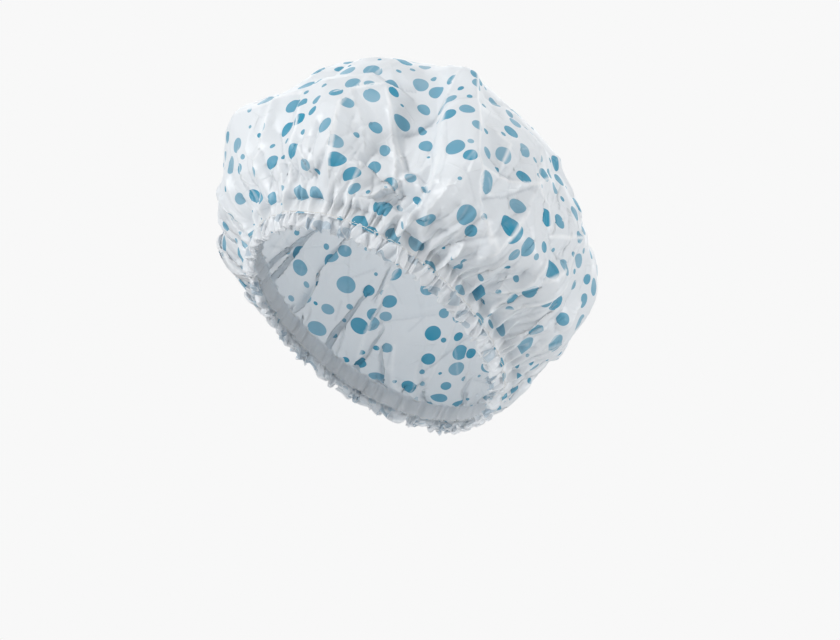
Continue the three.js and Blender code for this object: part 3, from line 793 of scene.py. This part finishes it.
def casing_ply(share):
    """Rows of the casing's outer ply below the crown, pleated with it, with each point's share round the rim
    and its height before the pleats."""
    heights = np.array(CASING_ROWS)[:, None]
    rows = rim_point(share[None, :], casing_outside(share[None, :], heights), heights)
    row_share = np.broadcast_to(share[None, :], rows.shape[:2])
    run = np.broadcast_to(heights - LOWER_SEAM_Z, rows.shape[:2])
    return pleated(rows, row_share, run), row_share, np.broadcast_to(heights, rows.shape[:2]).ravel()


def crown_sheet():
    """Crown film with the casing's outer ply below it: points, faces, flat place of each corner of each face,
    the disc's radius, and how strong a ridge and a valley are at each point. The film is relaxed on a coarse
    mesh for its folds, then on a fine one for its creases."""
    layout = film_layout(FINE_RINGS)
    ring, share, triangles, flat, radius, base, normal, drawn, fixed, _ = layout
    point = film_between(coarse_film(), COARSE_RINGS, ring * COARSE_RINGS / FINE_RINGS, share)
    point[fixed] = base[fixed]
    point = relax_film(point, flat, drawn, triangles, base, normal, fixed, FINE_STEPS, FOLD_STIFFNESS)
    from_seam = radius * (1 - ring / FINE_RINGS)
    facets_shown = np.clip((from_seam - FACET_START) / FACET_EASE, 0, 1)
    crumple = crumpled_facets(flat, FACET, FACET_RISE, 34) * facets_shown
    point = point + normal * crumple[:, None]
    moved = base + normal * crumple[:, None]
    point = relax_film(point, flat, drawn, triangles, moved, normal, fixed, LAST_STEPS, FACET_STIFFNESS)
    gathered = from_seam < PLEAT_REACH
    run = CASING_TOP_Z - LOWER_SEAM_Z + from_seam[gathered]
    point[gathered] = pleated(point[gathered], share[gathered], run)
    rise, move, strength, tucked = fold_all(base, normal, ring, FINE_RINGS, radius)
    point = point + normal * rise[:, None] + move
    around = np.cross((0, 0, 1), normal)
    around /= np.maximum(np.linalg.norm(around, axis=1, keepdims=True), 1e-9)
    slide = (move * around).sum(1)
    flat_radius = radius * ring / FINE_RINGS + (move * np.cross(around, normal)).sum(1)
    azimuth = np.degrees(rim_turn_at(share))
    level = meridian_levels(azimuth, 1 - ring / FINE_RINGS)[0]

    rows, row_share, row_height = casing_ply(share[fixed])
    extra = len(row_height)
    columns = row_share.shape[1]
    quads = band_faces(len(CASING_ROWS) + 1, columns, len(point) - columns)
    points = np.concatenate([point, rows.reshape(-1, 3)])
    strength = np.concatenate([strength, np.zeros((2, extra))], 1)
    spots = (
        np.concatenate([azimuth, np.degrees(rim_turn_at(row_share)).ravel()]),
        np.concatenate([level, np.full(extra, -90.0)]),
        np.concatenate([flat_radius, radius + (CASING_TOP_Z - row_height)]),
        np.concatenate([slide, np.zeros(extra)]),
        np.concatenate([tucked, np.full(extra, -1)]),
    )
    flats = np.concatenate([film_print(triangles, *spots), film_print(np.array(quads), *spots)])
    return points, triangles.tolist() + quads, flats, radius, strength


# Frill, casing lining, elastic and thread

# Frill: its gathers, the points round it, down each ply and round its hem, its strip's length as a share of
# the rim's, the same for its print, and by how many mm its hem leans inwards
FRILL_GATHERS = 92
FRILL_COLUMNS = FRILL_GATHERS * 18
FRILL_ROWS = 14
HEM_ROWS = 6
FRILL_PRINT = 1.25
FRILL_TILT = -4.0
# Lining: its strip's length as a share of the rim's, the height of its pleats, how much lower they are at the
# seams, and how far up and down a seam draws them in, in mm
LINING_FULLNESS = 1.3
LINING_PLEAT = 2.8
LINING_DRAW = 1.3
SEAM_REACH = 1.1


def frill_sheet():
    """Frill: a strip folded along its hem and gathered at its top into uneven lumps with sharp valleys
    between them. Going down, the lumps swell, sway sideways and break into smaller ones, the hem hangs
    lowest on their crests, and the two plies stand apart like a drop and close in a round fold."""
    share = np.arange(FRILL_COLUMNS)[None, :] / FRILL_COLUMNS
    down = np.linspace(0, 1, FRILL_ROWS)[:, None]
    lumps = slow_waves(share, (61, 73, 97, 131, 157), 46)
    crinkles = slow_waves(share, (173, 211, 263, 307), 47)
    phase = FRILL_GATHERS * share + 0.5 * slow_waves(share, (5, 8, 13, 21, 27), 43)
    phase = phase + 0.3 * slow_waves(share, (19, 27, 35, 44, 58), 44) * down
    # crests of the gathers, 0 in a valley and 1 on a crest, and how much they differ
    crest = np.abs(np.cos(np.pi * phase)) ** 1.2
    variety = np.clip(1 + 0.5 * slow_waves(share, (23, 31, 43, 53, 61, 97), 41), 0.1, 2.0)
    # swing of the gathers in and out, and crumple of the film, both growing towards the hem
    swing = 0.9 + 0.45 * variety * down ** 0.6
    broken = slanting_waves(share, down, (47, 71, 89, 113, 139, 167, 191), 48)
    crumple = 0.5 + (1.05 * broken + 0.3 * crinkles) * down ** 0.6
    tilt = FRILL_TILT * down ** 1.6
    # half the width of the hem's fold, and the height of the hem
    round_fold = 0.55 + 0.45 * crest * variety
    uneven = np.clip(0.9 + 0.5 * lumps + 0.25 * crinkles, 0, 2.4)
    bottom = 0.1 + round_fold + 1.5 * (1 - crest) + 0.8 * uneven
    height = FRILL_TOP_Z + (bottom - FRILL_TOP_Z) * down
    # sideways lean and sway, and the two plies on either side of the middle
    lean = 0.34 * down * slow_waves(share, (9, 14, 25, 39, 77), 42) / FRILL_GATHERS
    sway = share + lean + 0.14 * down * np.sin(2 * np.pi * phase) / FRILL_GATHERS
    middle = tilt + swing * (2 * crest - 1.1) + crumple
    apart = 0.15 + (round_fold - 0.15) * np.sin(0.5 * np.pi * down) ** 1.3
    outer = rim_point(sway, middle + apart, height)
    inner = rim_point(sway, middle - apart, height)[::-1]
    turn = np.linspace(0, np.pi, HEM_ROWS + 2)[1:-1, None]
    hem_offset = middle[-1:] + apart[-1:] * np.cos(turn)
    hem_height = height[-1:] - apart[-1:] * np.sin(turn)
    points = np.concatenate([outer, rim_point(sway[-1:], hem_offset, hem_height), inner])
    run = np.concatenate([down, 1 + 0.02 * np.arange(1, HEM_ROWS + 1)[:, None], 1.14 + down])
    around = np.broadcast_to(share * RIM_LENGTH * FRILL_PRINT, points.shape[:2])
    flats = np.stack([around, np.broadcast_to(run * FRILL_TOP_Z, points.shape[:2])], -1)
    faces = band_faces(len(points), FRILL_COLUMNS)
    return points.reshape(-1, 3), faces, flats.reshape(-1, 2)[np.ravel(faces)]


def lining_sheet():
    """Casing lining: a strip inside the elastic, gathered with the crown, its pleats pointing inwards."""
    columns = GATHERS * 8
    share = np.arange(columns)[None, :] / columns
    height = np.array((CASING_TOP_Z,) + CASING_ROWS)[:, None]
    seams = [np.exp(-((height - level) / SEAM_REACH) ** 2) for level in (UPPER_SEAM_Z, LOWER_SEAM_Z)]
    pleat = gather_pleat(share + 0.3 / GATHERS) * (LINING_PLEAT - LINING_DRAW * np.clip(sum(seams), 0, 1))
    points = rim_point(share, -ply_offset(share, height) - FILM_THICKNESS - pleat, height)
    flats = np.stack(np.broadcast_arrays(share * RIM_LENGTH * LINING_FULLNESS, height), -1)
    faces = [face[::-1] for face in band_faces(len(height), columns)]
    return points.reshape(-1, 3), faces, flats.reshape(-1, 2)[np.ravel(faces)]


def tube(path, radius, sides, closed):
    """Round thread: a circle of points about each point of a path, across the path's direction."""
    ahead = np.roll(path, -1, 0) - np.roll(path, 1, 0)
    if not closed:
        ahead[0] = path[1] - path[0]
        ahead[-1] = path[-1] - path[-2]
    ahead = ahead / np.linalg.norm(ahead, axis=1, keepdims=True)
    guide = np.stack([path[:, 0], path[:, 1], np.zeros(len(path))], 1)
    side = np.cross(ahead, guide)
    side = side / np.linalg.norm(side, axis=1, keepdims=True)
    out = np.cross(side, ahead)
    turn = 2 * np.pi * np.arange(sides) / sides
    circle = np.cos(turn)[None, :, None] * out[:, None] + np.sin(turn)[None, :, None] * side[:, None]
    points = path[:, None] + radius * circle
    steps = len(path) if closed else len(path) - 1
    here = np.arange(steps)[:, None] * sides
    then = np.mod(np.arange(steps) + 1, len(path))[:, None] * sides
    place = np.arange(sides)
    after = np.mod(place + 1, sides)
    faces = np.stack([here + place, here + after, then + after, then + place], -1).reshape(-1, 4).tolist()
    if not closed:
        faces.append(list(range(sides))[::-1])
        faces.append(list(range((len(path) - 1) * sides, len(path) * sides)))
    return points.reshape(-1, 3), faces


# Seams: the stitches in a row, the points along each, and how far inside the lining's ply the inner row lies
STITCHES = 132
STITCH_STEPS = 8
INNER_ROW = 0.75


def stitch_ring(height, outwards):
    """Row of stitches round the casing: the thread lies on the pleated film outside, or on the lining inside,
    and dips in at each hole."""
    share = np.arange(STITCHES * STITCH_STEPS) / (STITCHES * STITCH_STEPS)
    dip = np.clip(np.cos(2 * np.pi * STITCHES * share) - 0.55, 0, 1) / 0.45
    lift = THREAD_RADIUS * (1.1 - 2.4 * dip)
    if outwards:
        offset = casing_outside(share, height) + SEAM_PLEAT * gather_pleat(share) + lift
    else:
        offset = -(ply_offset(share, height) + INNER_ROW) - lift
    return tube(rim_point(share, offset, height), THREAD_RADIUS, THREAD_SIDES, True)


def elastic_strip():
    """Flat braided elastic: a ribbed band one turn and a lap long, whose ends pass each other at the back."""
    steps = 360
    lap = ELASTIC_LAP / RIM_LENGTH
    run = np.linspace(0, 1, steps)[:, None]
    share = 0.5 - lap / 2 + run * (1 + lap)
    distance = run * (RIM_LENGTH + ELASTIC_LAP)
    start = np.clip(1 - (distance - ELASTIC_LAP) / LAP_EASE, 0, 1)
    end = np.clip(1 - (RIM_LENGTH - distance) / LAP_EASE, 0, 1)
    shift = LAP_SHIFT * (start - end)
    ribs = 6
    up = np.linspace(0, 1, 4 * ribs + 1)[None, :]
    rib = 0.5 * ELASTIC_THICKNESS * (0.86 + 0.14 * np.abs(np.sin(np.pi * ribs * up)))
    height = ELASTIC_BOTTOM_Z + ELASTIC_WIDTH * up
    outer = rim_point(share, shift + rib, height)
    inner = rim_point(share, shift - rib, height)[:, ::-1]
    section = np.concatenate([outer, inner], 1)
    around = section.shape[1]
    faces = band_faces(steps, around)
    faces.append(list(range(around)))
    faces.append(list(range((steps - 1) * around, steps * around))[::-1])
    return section.reshape(-1, 3), faces


# Tack: how much its turns are flattened, and its clearance beside the elastic and above and below it
TACK_FLATNESS = 1.6
TACK_CLEARANCE = (0.35, 0.4)


def tack_thread():
    """Tack of the elastic's lap: turns of thread round the two lapped ends, flattened against them."""
    run = np.linspace(0, 1, TACK_TURNS * 24)
    turn = 2 * np.pi * TACK_TURNS * run
    reach = LAP_SHIFT + ELASTIC_THICKNESS / 2 + TACK_CLEARANCE[0]
    offset = reach * np.clip(TACK_FLATNESS * np.sin(turn), -1, 1)
    middle = ELASTIC_BOTTOM_Z + ELASTIC_WIDTH / 2
    half_height = ELASTIC_WIDTH / 2 + TACK_CLEARANCE[1]
    height = middle + half_height * np.clip(TACK_FLATNESS * np.cos(turn), -1, 1)
    share = 0.5 + (run - 0.5) * TACK_PITCH * TACK_TURNS / RIM_LENGTH
    return tube(rim_point(share, offset, height), TACK_RADIUS, THREAD_SIDES, False)


# Materials

def linear(hex_colour):
    """Linear red, green, blue and alpha of an sRGB hex colour."""
    parts = np.array([int(hex_colour[k:k + 2], 16) for k in (1, 3, 5)]) / 255
    values = np.where(parts <= 0.04045, parts / 12.92, ((parts + 0.055) / 1.055) ** 2.4)
    return (*values.tolist(), 1.0)


def add(tree, kind, settings=None, values=None, links=None):
    """A node of a kind, with its own settings, its socket values and its links from other sockets."""
    node = tree.nodes.new(kind)
    for name, value in (settings or {}).items():
        setattr(node, name, value)
    for socket, value in (values or {}).items():
        node.inputs[socket].default_value = value
    for socket, source in (links or {}).items():
        tree.links.new(source, node.inputs[socket])
    return node


def new_material(name):
    """A material with an empty node tree, and that tree."""
    material = bpy.data.materials.new(name)
    material.use_nodes = True
    material.node_tree.nodes.clear()
    return material, material.node_tree


# Printed dots, large and small, in metres: the spacing of their cells, and from which share of the cells on
# each radius is used
LARGE_CELL = 0.0214
LARGE_DOTS = ((0.0, 0.0037), (0.22, 0.0046), (0.6, 0.0053))
SMALL_CELL = 0.0140
SMALL_DOTS = ((0.0, 0.0), (0.3, 0.0012), (0.5, 0.0018), (0.84, 0.0033))
# The faintest and the strongest ink, half the blur of a dot's edge, and the gap between a small dot and a
# large one, both in metres
DOT_INK = (0.70, 1.0)
DOT_BLUR = 0.0001
DOT_GAP = 0.0016
# Colours of the painted shade along a sharp valley and of the painted highlight along a sharp ridge of the
# film
PAINTED_VALLEY_SHADE = "#a4abb3"
PAINTED_RIDGE_HIGHLIGHT = "#fafbfc"


def dot_layer(tree, where, cell, sizes):
    """One printed dot at a random place in each cell of a net. Gives the distance from the middle of the
    nearest dot and its radius, both in metres, the place of its middle and the strength of its ink."""
    near = add(tree, "ShaderNodeTexVoronoi", {"voronoi_dimensions": "2D"},
               {"Scale": 1 / cell, "Randomness": 0.8}, {"Vector": where})
    chance = add(tree, "ShaderNodeSeparateColor", links={0: near.outputs["Color"]})
    size = add(tree, "ShaderNodeValToRGB", links={0: chance.outputs[0]})
    ramp = size.color_ramp
    ramp.interpolation = "CONSTANT"
    while len(ramp.elements) < len(sizes):
        ramp.elements.new(0.5)
    for element, (start, radius) in zip(ramp.elements, sizes):
        element.position = start
        element.color = (radius / cell,) * 3 + (1,)
    distance = add(tree, "ShaderNodeMath", {"operation": "MULTIPLY"}, {1: cell},
                   {0: near.outputs["Distance"]})
    radius = add(tree, "ShaderNodeMath", {"operation": "MULTIPLY"}, {1: cell}, {0: size.outputs[0]})
    ink = add(tree, "ShaderNodeMapRange", None, {3: DOT_INK[0], 4: DOT_INK[1]}, {0: chance.outputs[1]})
    return distance.outputs[0], radius.outputs[0], near.outputs["Position"], ink.outputs[0]


def dot_mask(tree, where):
    """Printed dots, large and small: a small dot is left out where it would touch a large one. Gives the
    ink's strength on a dot and 0 beside it, from coordinates in metres on the flat film."""
    large_away, large_radius, _, large_ink = dot_layer(tree, where, LARGE_CELL, LARGE_DOTS)
    small_away, small_radius, small_middle, small_ink = dot_layer(tree, where, SMALL_CELL, SMALL_DOTS)
    next_away, next_radius, _, _ = dot_layer(tree, small_middle, LARGE_CELL, LARGE_DOTS)
    reach = add(tree, "ShaderNodeMath", {"operation": "ADD"}, None, {0: next_radius, 1: small_radius})
    gap = add(tree, "ShaderNodeMath", {"operation": "SUBTRACT"}, None, {0: next_away, 1: reach.outputs[0]})
    clear = add(tree, "ShaderNodeMath", {"operation": "GREATER_THAN"}, {1: DOT_GAP}, {0: gap.outputs[0]})
    kept = add(tree, "ShaderNodeMath", {"operation": "MULTIPLY"}, None,
               {0: small_radius, 1: clear.outputs[0]})
    large = (large_radius, large_away, large_ink)
    small = (kept.outputs[0], small_away, small_ink)
    printed = []
    for radius, away, ink in (large, small):
        inside = add(tree, "ShaderNodeMath", {"operation": "SUBTRACT"}, None, {0: radius, 1: away})
        edge = add(tree, "ShaderNodeMapRange", None, {1: -DOT_BLUR, 2: DOT_BLUR, 3: 0.0},
                   {0: inside.outputs[0], 4: ink})
        printed.append(edge.outputs[0])
    both = add(tree, "ShaderNodeMath", {"operation": "MAXIMUM"}, None, {0: printed[0], 1: printed[1]})
    return both.outputs[0]


def film_material(name, film_colour, roughness, glow, ink_colour=None, ink_share=1.0):
    """PEVA film, blown thin and left glossy: light passes through it softly, so folds that lie behind
    show as grey, and the dots, if any, are ink printed on it. Fine crinkles break up the gloss. The glow is
    the share of the light that passes through."""
    material, tree = new_material(name)
    flat = add(tree, "ShaderNodeUVMap", {"uv_map": "flat"})
    # crinkles about 5 mm across with finer ones on them, as the film shows between its folds
    coarse = add(tree, "ShaderNodeTexNoise", None, {"Scale": 1 / 0.005, "Detail": 2.0, "Roughness": 0.6},
                 {"Vector": flat.outputs[0]})
    # fine straight creases where the film was folded, 15 mm apart, fading in and out
    net = add(tree, "ShaderNodeTexVoronoi", {"voronoi_dimensions": "2D", "feature": "DISTANCE_TO_EDGE"},
              {"Scale": 1 / 0.015}, {"Vector": flat.outputs[0]})
    ridge = add(tree, "ShaderNodeMapRange", None, {1: 0.0, 2: 0.05, 3: 1.0, 4: 0.0}, {0: net.outputs[0]})
    # patches about 25 mm across, where those creases show and where the ink is thin
    patch = add(tree, "ShaderNodeTexNoise", None, {"Scale": 1 / 0.025, "Detail": 1.0},
                {"Vector": flat.outputs[0]})
    shown = add(tree, "ShaderNodeMapRange", None, {1: 0.45, 2: 0.6}, {0: patch.outputs[0]})
    relief = add(tree, "ShaderNodeMath", {"operation": "MULTIPLY_ADD"}, None,
                 {0: ridge.outputs[0], 1: shown.outputs[0], 2: coarse.outputs[0]})
    bump = add(tree, "ShaderNodeBump", None, {"Strength": 0.4, "Distance": 0.0005},
               {"Height": relief.outputs[0]})
    gloss = add(tree, "ShaderNodeBsdfPrincipled", None,
                {"Roughness": roughness, "IOR": 1.49, "Base Color": linear(film_colour)},
                {"Normal": bump.outputs[0]})
    through = add(tree, "ShaderNodeBsdfTranslucent", None, {"Color": linear(film_colour)},
                  {"Normal": bump.outputs[0]})
    if ink_colour:
        mask = dot_mask(tree, flat.outputs[0])
        # the ink is a little thinner in places
        thin = add(tree, "ShaderNodeMapRange", None, {1: 0.35, 2: 0.65, 3: 0.9 * ink_share, 4: ink_share},
                   {0: patch.outputs[0]})
        share = add(tree, "ShaderNodeMath", {"operation": "MULTIPLY"}, None, {0: mask, 1: thin.outputs[0]})
        colour = add(tree, "ShaderNodeMix", {"data_type": "RGBA"},
                     {6: linear(film_colour), 7: linear(ink_colour)}, {0: share.outputs[0]})
        # painted shade: a thin grey line is painted along a sharp valley, where shade falls
        valley = add(tree, "ShaderNodeAttribute", {"attribute_name": "valley"})
        shade = add(tree, "ShaderNodeMapRange", None, {1: 0.1, 2: 0.8, 3: 0.0, 4: 0.3},
                    {0: valley.outputs["Fac"]})
        colour = add(tree, "ShaderNodeMix", {"data_type": "RGBA", "blend_type": "MULTIPLY"},
                     {7: linear(PAINTED_VALLEY_SHADE)}, {0: shade.outputs[0], 6: colour.outputs[2]})
        # painted highlight: a thin white line is painted along a sharp ridge, standing in for the glint of a
        # sharp fold
        ridge_line = add(tree, "ShaderNodeAttribute", {"attribute_name": "ridge"})
        line = add(tree, "ShaderNodeMapRange", None, {1: 0.1, 2: 0.8, 3: 0.0, 4: 0.8},
                   {0: ridge_line.outputs["Fac"]})
        colour = add(tree, "ShaderNodeMix", {"data_type": "RGBA"}, {7: linear(PAINTED_RIDGE_HIGHLIGHT)},
                     {0: line.outputs[0], 6: colour.outputs[2]})
        tree.links.new(colour.outputs[2], gloss.inputs["Base Color"])
        tree.links.new(colour.outputs[2], through.inputs["Color"])
    both = add(tree, "ShaderNodeMixShader", None, {0: glow}, {1: gloss.outputs[0], 2: through.outputs[0]})
    add(tree, "ShaderNodeOutputMaterial", links={0: both.outputs[0]})
    return material


def yarn_material(name, colour, pitch, roughness):
    """Polyester yarn, twisted or braided: a soft sheen with fine ridges a pitch apart, in metres. A wave
    texture's bands lie 0.314 / scale apart."""
    material, tree = new_material(name)
    where = add(tree, "ShaderNodeTexCoord")
    wave = add(tree, "ShaderNodeTexWave", {"bands_direction": "DIAGONAL"},
               {"Scale": 0.314 / pitch, "Distortion": 1.5, "Detail": 2.0},
               {"Vector": where.outputs["Object"]})
    bump = add(tree, "ShaderNodeBump", None, {"Strength": 0.5, "Distance": 0.0002},
               {"Height": wave.outputs["Fac"]})
    # painted shade: the low bands of the wave, the grooves between the yarn's ridges, are painted darker
    shade = add(tree, "ShaderNodeMix", {"data_type": "RGBA"}, {6: linear("#d8d8d4"), 7: linear(colour)},
                {0: wave.outputs["Fac"]})
    surface = add(tree, "ShaderNodeBsdfPrincipled", None, {"Roughness": roughness, "Sheen Weight": 0.25},
                  {"Base Color": shade.outputs[2], "Normal": bump.outputs[0]})
    add(tree, "ShaderNodeOutputMaterial", links={0: surface.outputs[0]})
    return material


dotted_film = film_material("dotted_peva_film", "#e8ebee", roughness=0.37, glow=0.28, ink_colour="#1092b3")
frill_film = film_material("frill_peva_film", "#f4f6f8", roughness=0.26, glow=0.48, ink_colour="#7ba6bd",
                           ink_share=0.42)
plain_film = film_material("plain_peva_film", "#e9ebee", roughness=0.28, glow=0.4)
braid = yarn_material("braided_elastic", "#f0f0ec", pitch=0.0009, roughness=0.75)
yarn = yarn_material("polyester_thread", "#f4f4f2", pitch=0.0004, roughness=0.6)


# Pieces

def piece(name, points, faces, material, nodes, flats=None):
    """A mesh object from points in millimetres, for a sheet also with the flat place of each corner of each
    face, riding on the cap's one body."""
    mesh = bpy.data.meshes.new(name)
    mesh.from_pydata((np.asarray(points) * MM).tolist(), [], faces)
    if flats is not None:
        layer = mesh.uv_layers.new(name="flat")
        layer.data.foreach_set("uv", (np.asarray(flats) * MM).astype(np.float32).ravel())
    mesh.materials.append(material)
    mesh.shade_smooth()
    made = bpy.data.objects.new(name, mesh)
    bpy.context.scene.collection.objects.link(made)
    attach(made, "root")
    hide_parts(*nodes)
    return made


crown_points, crown_faces, crown_flats, film_radius, fold_strength = crown_sheet()
crown = piece("crown_film_sheet", crown_points, crown_faces, dotted_film, ["crown_film"],
              crown_flats)
# strength of the painted highlight along ridges and of the painted shade along valleys, for the film's
# material
for fold_kind, strength in zip(("ridge", "valley"), fold_strength):
    layer = crown.data.attributes.new(fold_kind, "FLOAT", "POINT")
    layer.data.foreach_set("value", strength.astype(np.float32))

frill_points, frill_faces, frill_flats = frill_sheet()
frill = piece("frill_ruffle", frill_points, frill_faces, frill_film, ["frill"], frill_flats)

lining_points, lining_faces, lining_flats = lining_sheet()
lining = piece("casing_lining", lining_points, lining_faces, plain_film, ["casing_tape"],
               lining_flats)

elastic_points, elastic_faces = elastic_strip()
piece("braided_elastic_band", elastic_points, elastic_faces, braid, ["elastic_band"])
tack_points, tack_faces = tack_thread()
piece("elastic_tack", tack_points, tack_faces, yarn, ["elastic_tack_thread"])

for seam_name, seam_height in (("upper", UPPER_SEAM_Z), ("lower", LOWER_SEAM_Z)):
    for thread_name, outwards in (("needle", True), ("bobbin", False)):
        points, faces = stitch_ring(seam_height, outwards)
        piece(f"{seam_name}_{thread_name}_stitches", points, faces, yarn,
              [f"{seam_name}_{thread_name}_thread"])


# Floor, light and camera

# The view looks up at the rim from the cap's left: angles in radians, distance in metres, lens in mm, and how
# far the aim lies right of the origin and above it in metres
RIM_TILT = math.radians(40)
VIEW_TURN = math.radians(38)
VIEW_DISTANCE = 1.6
VIEW_LENS = 116.6
VIEW_AIM = (0.0294, 0.0088)
# Floor: its height and half size in metres, and the glow that brings it up to the backdrop
FLOOR_Z = -1.05
FLOOR_HALF = 40.0
FLOOR_GLOW = 0.42
# Light from all round, the lamps' aim above the origin, and each lamp's place in metres to the right of the
# view, up and towards the camera, its size in metres and its watts
SOFT_LIGHT = 0.43
LAMP_AIM = Vector((0, 0, 0.06))
LAMPS = (
    ("key", -1.3, 1.05, 0.65, 0.5, 19.0),
    ("side", 1.4, 0.05, 0.55, 0.35, 9.5),
    ("top", 0.3, 1.5, 0.1, 0.5, 3.4),
    ("back", 0.2, 0.5, -1.4, 1.4, 7.5),
)

to_camera = Vector((
    math.sin(VIEW_TURN),
    -math.cos(VIEW_TURN) * math.cos(RIM_TILT),
    -math.cos(VIEW_TURN) * math.sin(RIM_TILT),
))
view_up = Vector((0, -math.sin(RIM_TILT), math.cos(RIM_TILT)))
view_right = view_up.cross(to_camera)


def aimed(place, target, up):
    """Placing of a camera or lamp that looks from a place at a target, with a side of it up."""
    back = (place - target).normalized()
    across = up.cross(back).normalized()
    placing = Matrix((across, back.cross(across), back)).transposed().to_4x4()
    placing.translation = place
    return placing


camera_data = bpy.data.cameras.new("camera")
camera_data.lens = VIEW_LENS
camera = bpy.data.objects.new("camera", camera_data)
view_aim = view_right * VIEW_AIM[0] + view_up * VIEW_AIM[1]
camera.matrix_world = aimed(to_camera * VIEW_DISTANCE, view_aim, view_up)
bpy.context.scene.collection.objects.link(camera)
bpy.context.scene.camera = camera

for lamp_name, right, up, near, size, watts in LAMPS:
    lamp_data = bpy.data.lights.new(lamp_name, "AREA")
    lamp_data.size = size
    lamp_data.energy = watts
    lamp = bpy.data.objects.new(lamp_name, lamp_data)
    place = view_right * right + view_up * up + to_camera * near
    lamp.matrix_world = aimed(place, LAMP_AIM, view_up)
    bpy.context.scene.collection.objects.link(lamp)


def seen_rays(tree):
    """1 for rays from the camera and for what gloss and clear film show, 0 for the light itself."""
    ray = add(tree, "ShaderNodeLightPath")
    bent = add(tree, "ShaderNodeMath", {"operation": "MAXIMUM"}, None,
               {0: ray.outputs["Is Glossy Ray"], 1: ray.outputs["Is Transmission Ray"]})
    seen = add(tree, "ShaderNodeMath", {"operation": "MAXIMUM"}, None,
               {0: ray.outputs["Is Camera Ray"], 1: bent.outputs[0]})
    return seen.outputs[0]


world = bpy.data.worlds.new("studio")
bpy.context.scene.world = world
world.use_nodes = True
sky = world.node_tree
sky.nodes.clear()
soft = add(sky, "ShaderNodeBackground", None, {"Color": linear("#ffffff"), "Strength": SOFT_LIGHT})
white = add(sky, "ShaderNodeBackground", None, {"Color": linear("#f8f8f8"), "Strength": 1.0})
sight = add(sky, "ShaderNodeMixShader", None, None,
            {0: seen_rays(sky), 1: soft.outputs[0], 2: white.outputs[0]})
add(sky, "ShaderNodeOutputWorld", links={0: sight.outputs[0]})

floor_mesh = bpy.data.meshes.new("floor")
floor_corners = [(FLOOR_HALF * x, FLOOR_HALF * y, FLOOR_Z) for x, y in ((-1, -1), (1, -1), (1, 1), (-1, 1))]
floor_mesh.from_pydata(floor_corners, [], [(0, 1, 2, 3)])
floor_material, floor_tree = new_material("painted_floor")
floor_finish = add(floor_tree, "ShaderNodeBsdfPrincipled", None,
                   {"Base Color": linear("#f4f4f4"), "Roughness": 0.9})
floor_seen = add(floor_tree, "ShaderNodeMath", {"operation": "MULTIPLY"}, {1: FLOOR_GLOW},
                 {0: seen_rays(floor_tree)})
floor_white = add(floor_tree, "ShaderNodeEmission", None, {"Color": linear("#ffffff")},
                  {"Strength": floor_seen.outputs[0]})
floor_both = add(floor_tree, "ShaderNodeAddShader",
                 links={0: floor_finish.outputs[0], 1: floor_white.outputs[0]})
add(floor_tree, "ShaderNodeOutputMaterial", links={0: floor_both.outputs[0]})
floor_mesh.materials.append(floor_material)
floor = bpy.data.objects.new("floor", floor_mesh)
bpy.context.scene.collection.objects.link(floor)

bpy.context.scene.view_settings.view_transform = "Standard"
